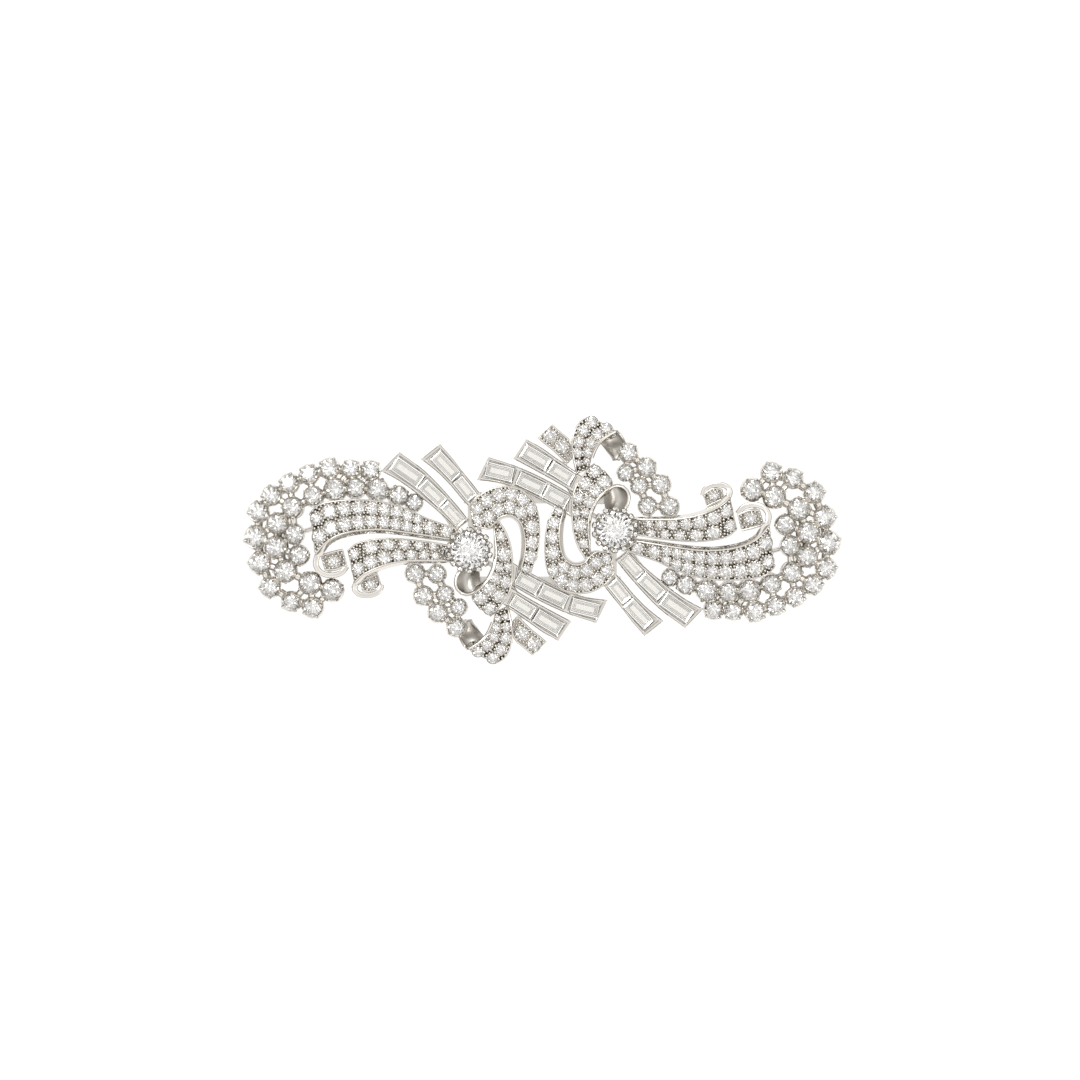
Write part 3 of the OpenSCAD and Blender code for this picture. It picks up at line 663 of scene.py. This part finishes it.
def claw(shape, angle, path, sides, wide):
    # a prong outside the stone that folds over its edge. Columns of path: radius, height, half thickness
    out = Vector([math.cos(angle), math.sin(angle), 0])
    side = Vector([-math.sin(angle), math.cos(angle), 0])
    rings = []
    for i, (r, z, t) in enumerate(path):
        a, b = path[max(i - 1, 0)], path[min(i + 1, len(path) - 1)]
        way = Vector([b[0] - a[0], b[1] - a[1]]).normalized()
        normal = out * way.y - Vector([0, 0, way.x])
        centre = out * r + Vector([0, 0, z])
        rings.append([centre + (normal * math.cos(q) + side * math.sin(q) * wide) * t
                      for q in [2 * math.pi * (k + 0.5) / sides for k in range(sides)]])
    addRings(shape, rings)


def bead():
    # a grain of metal: a low dome on a stem that reaches down into the ground
    return turned([(0, -2.4), (0.9, -2.4), (1, 0), (0.72, 0.66), (0, 0.95)], 7)


def collet():
    # the cup of an open setting, 1 high: a rim, a groove cut round it, a second band and a tapered foot
    inner = [(0, -0.92), (0.5, -0.44), (0.88, 0)]
    outer = [(0.92, 0.01), (0.97, -0.03), (1.1, -0.2), (1.13, -0.32), (1.06, -0.37), (1.05, -0.43),
             (1.12, -0.48), (1.11, -0.7), (1.06, -1), (0, -1)]
    return turned(inner + outer, 18)


def claws(count, path, turn, sides=6, wide=1.0, shape=None):
    # a ring of claws; turn shifts the first, in steps of the ring
    shape = shape or newShape()
    for k in range(count):
        claw(shape, 2 * math.pi * (k + turn) / count, path, sides, wide)
    return shape


print("node trees and master pieces made")

# Ribbons: a raised bright rim on both edges and a sunk ground between them for the stones. All sizes in mm
ribbonSizes = {
    "rim": 0.3,
    "ground": 0.9,
    "thick": 1.3,
    "stepsPerRow": 6,
    "endWall": 0.8,  # as a share of the rim
    "endDrop": 0.02,
    "endRim": 0.26,  # kept free between the last stones of a long ribbon and its end
    "level": 1.3,  # how strongly the stones are turned from the ribbon's lean to level
    "lift": 2.2,  # and how far that lifts them
    "sunk": 0.06,
    "stoneGap": 0.03,
    "beadSize": 0.23,
    "beadPitch": 0.5,
    "beadStep": 0.16,  # from one place tried for a bead to the next
    "beadToStone": 0.06,
    "beadToRim": 0.1,
}


def bothEdges(rows, s, profile):
    # a cross section with one profile at both edges. Columns of profile: inward, down
    a, b = spot(rows, s, -1), spot(rows, s, 1)
    _, across, above = axesAt(rows, s)
    left = [a + across * x - above * d for x, d in profile]
    right = [b - across * x - above * d for x, d in reversed(profile)]
    return left + right


def ribbonShape(shape, rows, sizes):
    rim = sizes["rim"]
    profile = [(0, sizes["thick"]), (0, 0.16), (0.05, 0.05), (0.13, 0), (rim - 0.1, 0), (rim - 0.02, 0.05),
               (rim, 0.16), (rim + 0.02, sizes["ground"])]
    rings = [bothEdges(rows, s, profile) for s in placesOn(rows, sizes["stepsPerRow"])]
    first = len(shape["faces"])
    addRings(shape, rings)
    # the ground is the strip between the two halves of each ring
    half, full = len(profile) - 1, len(rings[0])
    skin = (len(rings) - 1) * full
    shape["marks"]["ground"] += [1.0 if k % full == half else 0.0 for k in range(skin)]
    for s, way in ((0, 1), (len(rows) - 1, -1)):
        crossWall(shape, rows, s, way, rim * sizes["endWall"], sizes["thick"], sizes["endDrop"])
    shape["marks"]["ground"] += [0.0] * (len(shape["faces"]) - first - skin)


def crossWall(shape, rows, s, way, wide, tall, drop, bevel=0.08, reach=0.985):
    # a wall across a ribbon or channel, from edge to edge; way says to which side of s it stands, 0 for both
    along, _, above = axesAt(rows, min(max(s, 0.001), len(rows) - 1.001))
    low, high = (-wide / 2, wide / 2) if way == 0 else (min(0, way * wide), max(0, way * wide))
    edge = min(bevel, wide / 4)
    profile = [(low, tall), (low, drop + edge), (low + edge, drop), (high - edge, drop), (high, drop + edge),
               (high, tall)]
    rings = []
    for v in (-reach, reach):
        p = spot(rows, s, v)
        rings.append([p + along * x - above * d for x, d in profile])
    addRings(shape, rings)


ribbonMetal = newShape()
ribbonMetal["marks"] = {"ground": []}
for rows in ribbons.values():
    ribbonShape(ribbonMetal, rows, ribbonSizes)


def spaced(rows, v, first, last, count, ratio, parts=48):
    # places along a ribbon whose distances grow by a ratio from the first to the last
    if count == 1:
        return [first]
    fine = [first + (last - first) * i / parts for i in range(parts + 1)]
    far = [0]
    for one, two in zip(fine, fine[1:]):
        far.append(far[-1] + (spot(rows, two, v) - spot(rows, one, v)).length)
    places = []
    for i in range(count):
        share = i / (count - 1) if abs(ratio - 1) < 0.001 else (ratio ** (i / (count - 1)) - 1) / (ratio - 1)
        k = next((j for j, f in enumerate(far) if f >= share * far[-1] - 1e-9), parts)
        if k == 0:
            places.append(first)
        else:
            part = (share * far[-1] - far[k - 1]) / (far[k] - far[k - 1])
            places.append(fine[k - 1] + (fine[k] - fine[k - 1]) * part)
    return places


# Each stone is held back where a neighbour, the rim beside it or the rim at the end stands nearer
paveStones = []
for group, table in paveRows.items():
    for ribbon, v, first, last, count, r0, r1 in table:
        rows = ribbons[ribbon]
        for i, s in enumerate(spaced(rows, v, first, last, count, r1 / r0)):
            along, _, above = axesAt(rows, s)
            here = spot(rows, s, v)
            room = (1 - abs(v)) * (spot(rows, s, 1) - spot(rows, s, -1)).length / 2 - ribbonSizes["rim"]
            if group == "ribbonStones" and i == count - 1 and i > 2:
                toEnd = (spot(rows, len(rows) - 1, v) - here).to_2d().length
                room = min(room, toEnd - ribbonSizes["endRim"])
            # the stones sit more level than the ribbon, and are lifted where that would sink an edge
            level = (above + Vector([0, 0, ribbonSizes["level"]])).normalized()
            lift = Vector([0, 0, ribbonSizes["lift"] * (1 - above.dot(level))])
            paveStones.append({
                "group": group, "ribbon": ribbon, "at": here - above * ribbonSizes["sunk"] + lift,
                "above": level, "along": along, "r": min(r0 + (r1 - r0) * i / max(count - 1, 1), room)})
for one in paveStones:
    others = [two for two in paveStones if two is not one and two["ribbon"] == one["ribbon"]]
    near = min([(one["at"] - two["at"]).length for two in others], default=math.inf)
    one["r"] = min(one["r"], near / 2 - ribbonSizes["stoneGap"])
pavePlaces = {group: [] for group in paveRows}
for one in paveStones:
    pavePlaces[one["group"]].append(place(one["at"], one["above"], one["along"], one["r"]))

# Beads raised with the graver in every corner the stones leave
beadPlaces = []
for ribbon, rows in ribbons.items():
    stones = [one for one in paveStones if one["ribbon"] == ribbon]
    kept, last, step = [], len(rows) - 1, ribbonSizes["beadStep"]
    length = sum((spot(rows, i + 1, 0) - spot(rows, i, 0)).length for i in range(last))
    count = int(length / step)
    for i in range(2, count - 1):
        s = last * i / count
        along, _, above = axesAt(rows, s)
        halfWide = (spot(rows, s, 1) - spot(rows, s, -1)).length / 2
        aside = int((halfWide - ribbonSizes["rim"] - ribbonSizes["beadToRim"]) / step)
        for k in range(-aside, aside + 1):
            here = spot(rows, s, k * step / halfWide)
            clear = all((here - one["at"]).length > one["r"] + ribbonSizes["beadToStone"] for one in stones)
            if clear and all((here - q).length > ribbonSizes["beadPitch"] for q in kept):
                kept.append(here)
                beadPlaces.append(place(here, above, along, ribbonSizes["beadSize"]))
# the seat round a stone, with a flange that closes the ground between the stones, in the greyer metal whose
# colour is painted shade
collarMaster = turned([(0.97, -0.05), (1.0, 0.0), (1.06, -0.02), (1.1, -0.1), (1.12, -0.3), (1.26, -0.36),
                       (1.26, -0.5), (1.1, -0.55), (0.3, -0.8), (0.97, -0.05)], 14)
allPave = [p for group in pavePlaces.values() for p in group]
collarMesh = setMany("collars", collarMaster, allPave, groundPaintedShadePlatinum, crease=30)
beadMesh = setMany("beads", bead(), beadPlaces, polishedPlatinum, crease=60)
ribbonMesh = meshOf("ribbons", ribbonMetal)
# the sunk ground in the greyer metal: its colour is painted shade between the stones
paintMarked(ribbonMesh, "ground", polishedPlatinum, groundPaintedShadePlatinum)
print("ribbons made,", len(allPave), "pave stones and", len(beadPlaces), "beads a clip")

# Channels that hold the baguettes: bevelled rails, a wall at each end and a cross bar behind each stone
channelSizes = {
    "rail": 0.46,
    "bed": 0.5,
    "thick": 1.9,
    "stepsPerRow": 6,
    "bar": 0.34,
    "barRoom": 0.05,
    "barDrop": 0.12,
    "lastBar": 0.3,  # from the last stone to the middle of the bar behind it
    "endWall": 0.5,
    "endInset": 0.01,
    "endDrop": 0.01,
}
rail, thick = channelSizes["rail"], channelSizes["thick"]
railProfile = [(0.1, thick), (0, thick - 0.12), (0, 0.3), (0.05, 0.16), (0.2, 0.02), (rail - 0.12, 0),
               (rail - 0.03, 0.04), (rail, 0.14), (rail, channelSizes["bed"])]
channels = newShape()
for name, rows in sprays.items():
    addRings(channels, [bothEdges(rows, s, railProfile) for s in placesOn(rows, channelSizes["stepsPerRow"])])
    for s, way in ((channelSizes["endInset"], 1), (len(rows) - 1 - channelSizes["endInset"], -1)):
        crossWall(channels, rows, s, way, channelSizes["endWall"], thick, channelSizes["endDrop"])
    mine = baguettes[name]
    for one, two in zip(mine, mine[1:]):
        gap = (spot(rows, two[0], 0) - spot(rows, one[0], 0)).length - (one[1] + two[1]) / 2
        share = (one[1] / 2 + gap / 2) / ((one[1] + two[1]) / 2 + gap)
        s = one[0] + (two[0] - one[0]) * share
        wide = max(gap - channelSizes["barRoom"], channelSizes["bar"])
        crossWall(channels, rows, s, 0, wide, thick, channelSizes["barDrop"])
    s, length, _ = mine[-1]
    rowLength = (spot(rows, s + 0.5, 0) - spot(rows, s - 0.5, 0)).length
    s += (length / 2 + channelSizes["lastBar"]) / rowLength
    crossWall(channels, rows, s, 0, channelSizes["bar"], thick, channelSizes["barDrop"])
channelMesh = meshOf("channels", channels)

# A baguette: its steps from the table down, inset and height, and the painted reflection tones of its
# pavilion
baguetteCut = {
    "steps": [(0.42, 0.36), (0.24, 0.33), (0.03, 0.28), (0, 0.2), (0, -0.1), (0.05, -0.15), (0.17, -0.155),
              (0.24, -0.19), (0.39, -0.195), (0.46, -0.23), (0.6, -0.235), (0.67, -0.27), (0.8, -0.275),
              (0.86, -0.31)],
    "girdle": 4,  # the step that ends the girdle
    # terraces, odd, riser and foot are painted reflection tones on the mirror pavilion
    "terraces": [1.0, 0.94, 1.0, 0.86],
    "odd": 0.75,  # of a terrace's tone, on one facet in four
    "riser": 0.06,
    "foot": 0.92,
    "rise": 0.04,
    "longer": 0.1,
    "wider": 0.16,  # the edges reach in under the rails
    "endInset": 0.9,  # as a share of an inset
    "insetFor": 2.6,  # the width that the insets are drawn for
}


def stepCut(length, width, chance):
    # table, crown steps, an upright girdle, and a pavilion of terraces whose risers are painted dark, as thin
    # grey lines of painted reflection
    shape = newShape()
    rings, paintedReflections = [], []
    for i, (inset, z) in enumerate(baguetteCut["steps"]):
        l = length / 2 - inset * baguetteCut["endInset"]
        w = width / 2 - inset * width / baguetteCut["insetFor"]
        rings.append([[-l, -w, z], [l, -w, z], [l, w, z], [-l, w, z]])
        for k in range(4):
            # painted reflection: terraces pale, risers and the odd facet darker
            terrace = baguetteCut["terraces"][(i // 2 + k * 2 + chance) % 4]
            paintedReflection = terrace * (baguetteCut["odd"] if (k + chance) % 4 == 1 else 1)
            paintedReflections.append(baguetteCut["riser"] if i % 2 == 0 else paintedReflection)
    addRings(shape, rings)
    under = [1.0 if i >= baguetteCut["girdle"] else 0.0 for i in range(len(rings) - 1) for k in range(4)]
    shape["marks"] = {"under": under + [0.0, 1.0], "paintedReflection": paintedReflections[:-4] + [1.0, baguetteCut["foot"]]}
    return shape


allBaguettes = [(sprays[name], *row) for name, table in baguettes.items() for row in table]
for i, (rows, s, length, width) in enumerate(allBaguettes, 1):
    along, _, above = axesAt(rows, s)
    side = above.cross(along)
    here = spot(rows, s, 0) + above * baguetteCut["rise"]
    cut = stepCut(length + baguetteCut["longer"], width + baguetteCut["wider"], i)
    cut["points"] = [here + along * p.x + side * p.y + above * p.z for p in cut["points"]]
    mesh = meshOf("baguette", cut, 0)
    paintMarked(mesh, "under", stepCutDiamond, stepCutPaintedBack)
    other = halfTurned(mesh, "baguetteRight%d" % i)
    showPiece("baguetteLeft%d" % i, mesh, None, ["baguette_left_%d" % i])
    showPiece("baguetteRight%d" % i, other, None, ["baguette_right_%d" % i])
print("channels and baguettes made")

# The polished cups inside the folds, and the lip that runs on from each. Columns: ax ay az bx by bz, x y z
cups = {
    "frontCup": {"sag": 1.3, "thick": 0.4, "rim": 0.28, "rows": [
        [-9.6, -3.4, 8.0, -11.1, -3.6, 7.8],
        [-9.4, -5.0, 8.5, -12.4, -4.7, 8.1],
        [-9.4, -6.2, 8.8, -12.95, -6.0, 8.3],
        [-9.1, -7.0, 9.1, -12.8, -7.2, 8.5],
        [-9.6, -7.7, 9.1, -12.1, -7.95, 8.6],
    ], "lip": [
        [-11.1, -8.15, 9.0], [-10.0, -7.7, 9.5], [-8.9, -6.85, 9.8], [-8.0, -5.7, 9.8], [-7.3, -4.2, 9.6],
        [-7.1, -3, 9.3],
    ]},
    "tipCup": {"sag": 0.6, "thick": 0.4, "rim": 0.26, "rows": [
        [-11.25, -12.0, 6.3, -11.4, -12.0, 6.1],
        [-9.9, -13.2, 7.3, -11.9, -13.4, 5.6],
        [-8.8, -14.4, 8.0, -12.3, -14.7, 6.6],
        [-8.7, -15.4, 8.1, -11.5, -16.1, 7.5],
    ], "lip": [
        [-11.1, -16.3, 8.3], [-9.9, -15.7, 8.6], [-8.7, -14.7, 8.7], [-8.0, -13.6, 8.3], [-7.5, -12.4, 7.8],
    ]},
}
cupSteps = {"along": 6, "across": 14, "lip": 3, "round": 10}


def tubeRings(points, radius, sides):
    rings = []
    for i, p in enumerate(points):
        way = (points[min(i + 1, len(points) - 1)] - points[max(i - 1, 0)]).normalized()
        side = way.cross(Vector([0, 0, 1])).normalized()
        up = side.cross(way)
        rings.append([p + (side * math.cos(q) + up * math.sin(q)) * radius
                      for q in [2 * math.pi * k / sides for k in range(sides)]])
    return rings


cupMetal, lipMetal = newShape(), newShape()
marks = [-1 + k * 2 / cupSteps["across"] for k in range(cupSteps["across"] + 1)]
for cup in cups.values():
    rows, rings = cup["rows"], []
    places = placesOn(rows, cupSteps["along"])
    for s in places:
        above = axesAt(rows, s)[2]
        ring = [spot(rows, s, v) - above * cup["sag"] * (1 - v * v) for v in marks]
        ring += [spot(rows, s, v) - above * (cup["sag"] * (1 - v * v) + cup["thick"])
                 for v in reversed(marks[::2])]
        rings.append(ring)
    addRings(cupMetal, rings)
    # a rounded rim along the far edge that runs on beside the ribbon
    line = [spot(rows, s, 1) for s in places] + [Vector(p) for p in cup["lip"]]
    line = [Vector(rowAt(line, s)) for s in placesOn(line, cupSteps["lip"])]
    addRings(lipMetal, tubeRings(line, cup["rim"], cupSteps["round"]))
cupMesh = meshOf("cups", cupMetal)
lipMesh = meshOf("cupLips", lipMetal)

# The curled ends of the two long ribbons: a strip on edge with rounded corners. Columns: x y z
scrolls = {
    "upper": [
        [-33.3, -0.9, 9.0], [-33.8, -2.5, 8.95], [-33.95, -3.7, 8.75], [-33.3, -4.8, 8.5], [-31.9, -5.3, 8.2],
        [-30.3, -5.0, 7.9], [-29.3, -3.9, 7.7],
    ],
    "lower": [
        [-27.4, -5.0, 8.7], [-27.95, -6.5, 8.6], [-28.1, -7.5, 8.4], [-27.3, -8.2, 8.2], [-25.8, -8.3, 8.0],
        [-24.5, -7.7, 7.8], [-24.1, -6.6, 7.6],
    ],
}
scrollSizes = {"thick": 0.84, "tall": 4, "stepsPerRow": 6}
halfThick, tall = scrollSizes["thick"] / 2, scrollSizes["tall"]
scrollProfile = [(-halfThick, tall), (-halfThick, 0.14), (-halfThick + 0.05, 0.04), (-halfThick + 0.14, 0),
                 (halfThick - 0.14, 0), (halfThick - 0.05, 0.04), (halfThick, 0.14), (halfThick, tall)]
up = Vector([0, 0, 1])
scrollMetal = newShape()
for points in scrolls.values():
    rings = []
    for s in placesOn(points, scrollSizes["stepsPerRow"]):
        p = Vector(rowAt(points, s))
        way = Vector(rowAt(points, s + 0.05)) - Vector(rowAt(points, s - 0.05))
        side = Vector([-way.y, way.x, 0]).normalized()
        rings.append([p + side * x - up * d for x, d in scrollProfile])
    addRings(scrollMetal, rings)
scrollMesh = meshOf("scrolls", scrollMetal)
print("cups and scrolls made")


# Collets of the cluster and the fan, and the stones in them
def girdleOf(c):
    return Vector([c[0], c[1], c[3]])


def leanAxis(c, middle):
    away = Vector([c[0] - middle[0], c[1] - middle[1]]).normalized()
    angle = math.radians(frameSizes["outerLean"]) * c[4]
    return Vector([away.x * math.sin(angle), away.y * math.sin(angle), math.cos(angle)])


def rootOf(c, middle):
    # where a collet's axis comes down on the web
    down = c[3] - frameSizes["base"] - frameSizes["rootRise"]
    p = girdleOf(c) - leanAxis(c, middle) * down
    return Vector([p.x, p.y, frameSizes["base"] + frameSizes["webThick"] / 2])


colletSizes = {"claws": 4, "stoneInset": 0.14, "wide": 1.04, "drop": 0.1}
clawPath = [(1.06, -0.95, 0.12), (1.14, -0.3, 0.18), (1.14, 0.02, 0.22), (1.06, 0.2, 0.23),
            (0.93, 0.29, 0.19), (0.83, 0.28, 0.07)]
stonePlaces = {"cluster": [], "fan": []}
colletPlaces = []
for group, table, middle in (("cluster", cluster, clusterMiddle), ("fan", fan, fanMiddle)):
    for c in table:
        z = leanAxis(c, middle)
        near = min((d for d in table if d is not c), key=lambda d: math.hypot(d[0] - c[0], d[1] - c[1]))
        x = Vector([near[0] - c[0], near[1] - c[1], 0])
        stonePlaces[group].append(place(girdleOf(c), z, x, c[2] - colletSizes["stoneInset"]))
        wide = c[2] * colletSizes["wide"]
        height = c[3] - frameSizes["base"] - frameSizes["webThick"]
        colletPlaces.append(place(girdleOf(c) - z * colletSizes["drop"], z, x, [wide, wide, height]))
clawMaster = claws(colletSizes["claws"], clawPath, 0.5)
clawPlaces = stonePlaces["cluster"] + stonePlaces["fan"]
clawMesh = setMany("claws", clawMaster, clawPlaces, polishedPlatinum, crease=50)
colletMesh = setMany("collets", collet(), colletPlaces, polishedPlatinum, crease=30)

# The crown of the centre stone: a deep cup, pale tabs outside its rim and six small claws over the stone
crownSizes = {"at": [-10.9, -1.55], "stone": 2.8, "girdle": 10.3, "tabs": 14, "tabWide": 1.7, "claws": 6,
              "clawWide": 1.25}
r, top = crownSizes["stone"], crownSizes["girdle"]
crownMetal = turned([
    (0, top - 2.6), (1.2, top - 2.0), (r - 0.05, top - 0.25), (r + 0.1, top - 0.2), (r + 0.34, top - 0.42),
    (r + 0.36, top - 0.8), (r + 0.1, top - 1.0), (r, top - 1.3), (r + 0.12, top - 1.5), (r - 0.1, top - 2.4),
    (2.2, top - 3.8), (1.95, top - 6.2), (0, top - 6.2)], 40)
tabPath = [(r, top - 2.4, 0.25), (r + 0.32, top - 1.3, 0.28), (r + 0.46, top - 0.4, 0.3),
           (r + 0.36, top - 0.06, 0.24), (r + 0.06, top - 0.02, 0.1)]
claws(crownSizes["tabs"], tabPath, 0.5, 8, crownSizes["tabWide"], crownMetal)
smallPath = [(r + 0.2, top - 1.2, 0.2), (r + 0.3, top - 0.1, 0.24), (r + 0.16, top + 0.26, 0.24),
             (r - 0.08, top + 0.4, 0.2), (r - 0.24, top + 0.38, 0.08)]
claws(crownSizes["claws"], smallPath, 0.35, 8, crownSizes["clawWide"], crownMetal)
crownAt = Vector([*crownSizes["at"], 0])
crownMetal["points"] = [p + crownAt for p in crownMetal["points"]]
crownMesh = meshOf("crown", crownMetal, 35)
centrePlace = place(crownAt + Vector([0, 0, top]), [0, 0, 1], [1, 0.2, 0], r)

# The round stones of both clips, with the CAD nodes that each field stands for
for name, places, replaced in (
        ("clusterStones", stonePlaces["cluster"], ["cluster_stones"]),
        ("fanStones", stonePlaces["fan"], ["fan_stones"]),
        ("ribbonStones", pavePlaces["ribbonStones"], ["ribbon_stones"]),
        ("loopStones", pavePlaces["loopStones"], ["loop_stones"]),
        ("frontStones", pavePlaces["frontStones"], []),
        ("centreStone", [centrePlace], ["centre_stone"])):
    cut = centreCut() if name == "centreStone" else brilliant()
    stones = setMany(name, cut, places, brilliantDiamond, finish["chanceTurn"], back=brilliantPaintedBack)
    showPair(name, stones, None, replaced)
print("collets, claws and stones made")

# The web under everything, its legs, and the short links between collets
webSizes = {"broad": 1.3, "plain": 0.8, "narrow": 0.64, "linkWide": 1.1, "linkThick": 0.9, "linkDrop": 0.9,
            "linkReach": 1.1, "linkStart": 0.96, "leg": 0.6}
# Columns: ribbon or spray, place along it, how far under its face the leg begins
legs = {
    "upperNear": ("upperRibbon", 1, 0.9),
    "upperFar": ("upperRibbon", 4.6, 0.9),
    "lowerNear": ("lowerRibbon", 1, 0.9),
    "lowerFar": ("lowerRibbon", 4.4, 0.9),
    "loop": ("bigLoop", 1.6, 0.9),
    "front": ("frontRibbon", 3.4, 0.9),
    "tip": ("tipRibbon", 3, 0.9),
    "sprayA": ("sprayA", 2.4, 1.6),
    "sprayB": ("sprayB", 1.6, 1.6),
    "sprayC": ("sprayC", 1.4, 1.6),
    "sprayD": ("sprayD", 2.4, 1.6),
}
webZ = frameSizes["base"] + frameSizes["webThick"] / 2
feet, legLines = {}, []
for name, (band, s, depth) in legs.items():
    rows = {**ribbons, **sprays}[band]
    head = spot(rows, s, 0) - axesAt(rows, s)[2] * depth
    feet[name] = Vector([head.x, head.y, webZ])
    legLines.append([feet[name], head])
hub = crownAt + Vector([0, 0, webZ])
underUpperScroll = Vector([-32, -4.6, webZ])
underLowerScroll = Vector([-28.4, -7.3, webZ])
clusterRoots = [rootOf(c, clusterMiddle) for c in cluster]
fanRoots = [rootOf(c, fanMiddle) for c in fan]


def rootLines(ofCluster, ofFan):
    lines = [[clusterRoots[i] for i in row] for row in ofCluster]
    return lines + [[fanRoots[i] for i in row] for row in ofFan]


broadLines = rootLines(clusterRows, fanRows)
plainLines = [
    [hub, feet["upperNear"], feet["upperFar"], clusterRoots[24]],
    [hub, feet["lowerNear"], feet["lowerFar"], underLowerScroll],
    [hub, feet["sprayA"]],
    [hub, feet["loop"], feet["sprayB"]],
    [hub, feet["front"], feet["sprayC"]],
]
narrowLines = rootLines(clusterTies, fanTies) + [
    [feet["upperFar"], clusterRoots[16]],
    [feet["front"], feet["sprayD"], feet["tip"], fanRoots[6]],
    [feet["lowerNear"], fanRoots[1]],
    [clusterRoots[23], underUpperScroll],
]
linkLines = []
for table, middle in ((cluster, clusterMiddle), (fan, fanMiddle)):
    for i, one in enumerate(table):
        for two in table[i + 1:]:
            ends = [girdleOf(c) - leanAxis(c, middle) * webSizes["linkDrop"] for c in (one, two)]
            way = (ends[1] - ends[0]).normalized()
            # from wall to wall, so that no link passes under a stone
            if (ends[1] - ends[0]).length < one[2] + two[2] + webSizes["linkReach"]:
                linkLines.append([ends[0] + way * one[2] * webSizes["linkStart"],
                                  ends[1] - way * two[2] * webSizes["linkStart"]])
wires = [
    ("broadWires", broadLines, webSizes["broad"], frameSizes["webThick"]),
    ("plainWires", plainLines, webSizes["plain"], frameSizes["webThick"]),
    ("narrowWires", narrowLines, webSizes["narrow"], frameSizes["webThick"]),
    ("links", linkLines, webSizes["linkWide"], webSizes["linkThick"]),
    ("legs", legLines, webSizes["leg"], webSizes["leg"]),
]
webMesh = joined("web", [drawWires(*wire, polishedPlatinum) for wire in wires])
print("web made")

showPair("ribbons", ribbonMesh, None, ["clip_frame"])
# the collars in the greyer metal: its colour is painted shade round the stones
showPair("collars", collarMesh, groundPaintedShadePlatinum)
showPair("beads", beadMesh, polishedPlatinum)
showPair("channels", channelMesh, polishedPlatinum)
# the cups in the hollow metal, whose darker colour is painted shade
showPair("cups", cupMesh, hollowPaintedShadePlatinum)
for name, mesh in (("cupLips", lipMesh), ("scrolls", scrollMesh), ("claws", clawMesh),
                   ("collets", colletMesh), ("crown", crownMesh), ("web", webMesh)):
    showPair(name, mesh, polishedPlatinum)
# the plain back is the CAD node itself
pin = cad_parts["pin_frame"]
pin.data.materials.clear()
pin.data.materials.append(polishedPlatinum)
print("pieces shown")

# Floor, light and camera. Lights and floor in m
studio = {
    "floorSize": 3.0,
    "floor": "#8E8C89",
    "floorRough": 0.9,
    "floorGlow": 0.9,
    "worldStrength": 1.45,
    "bands": [(-1.0, "#D8D5D0"), (0.0, "#8A8680"), (0.45, "#7F7B75"), (0.62, "#F6F5F3"), (0.86, "#FAF9F8"),
              (0.95, "#DAD9D7"), (1.0, "#D6D5D3")],
    "lights": {
        "keyLight": {"at": (-0.25, 0.3, 0.55), "size": 0.3, "power": 1.2, "colour": "#FFFDF9"},
        "fillLight": {"at": (0.45, -0.2, 0.4), "size": 0.3, "power": 0.5, "colour": "#FFF9F0"},
    },
}
# pale board lit all over: a white ground that takes hardly any shadow
paleBoard = newMaterial("paleBoard", {
    "Base Color": hexLinear(studio["floor"]), "Roughness": studio["floorRough"],
    "Emission Color": hexLinear("#FFFFFF"), "Emission Strength": studio["floorGlow"]})
edge = studio["floorSize"] / 2
floorMesh = bpy.data.meshes.new("floor")
floorCorners = [(-edge, -edge, 0), (edge, -edge, 0), (edge, edge, 0), (-edge, edge, 0)]
floorMesh.from_pydata(floorCorners, [], [(0, 1, 2, 3)])
floorMesh.materials.append(paleBoard)
floor = bpy.data.objects.new("floor", floorMesh)
bpy.context.scene.collection.objects.link(floor)

world = bpy.data.worlds.new("studio")
bpy.context.scene.world = world
world.use_nodes = True
sky = world.node_tree
direction = addNode(sky, "ShaderNodeTexCoord")
split = addNode(sky, "ShaderNodeSeparateXYZ", None, {0: direction.outputs["Generated"]})
height = addNode(sky, "ShaderNodeMapRange", {"From Min": -1.0}, {"Value": split.outputs["Z"]})
ramp = addNode(sky, "ShaderNodeValToRGB", None, {0: height.outputs[0]})
stops = ramp.color_ramp.elements
while len(stops) < len(studio["bands"]):
    stops.new(0.5)
for stop, (z, colour) in zip(stops, studio["bands"]):
    stop.position = (z + 1) / 2
    stop.color = hexLinear(colour)
sky.links.new(ramp.outputs[0], sky.nodes["Background"].inputs["Color"])
sky.nodes["Background"].inputs["Strength"].default_value = studio["worldStrength"]


def softLight(name, at, size, power, colour):
    light = bpy.data.lights.new(name, "AREA")
    light.shape = "DISK"
    light.size = size
    light.energy = power
    light.color = hexLinear(colour)[:3]
    holder = bpy.data.objects.new(name, light)
    holder.location = at
    holder.rotation_euler = (-Vector(at)).to_track_quat("-Z", "Y").to_euler()
    holder.visible_camera = False
    bpy.context.scene.collection.objects.link(holder)


for name, light in studio["lights"].items():
    softLight(name, **light)

# in mm, but the clips, the nearest and farthest that the lens shows, are in m
view = {"lens": 400, "sensor": 36, "pixels": 1080, "pixel": 0.15, "centre": [-0.3375, 0], "plane": 8,
        "clips": [0.05, 50]}
lens = bpy.data.cameras.new("camera")
lens.lens = view["lens"]
lens.sensor_width = view["sensor"]
lens.clip_start, lens.clip_end = view["clips"]
away = view["pixels"] * view["pixel"] / 2 / (view["sensor"] / 2 / view["lens"])
camera = bpy.data.objects.new("camera", lens)
camera.location = Vector([*view["centre"], view["plane"] + away]) * mm
bpy.context.scene.collection.objects.link(camera)
bpy.context.scene.camera = camera
bpy.context.scene.view_settings.view_transform = "Standard"
print("studio made")
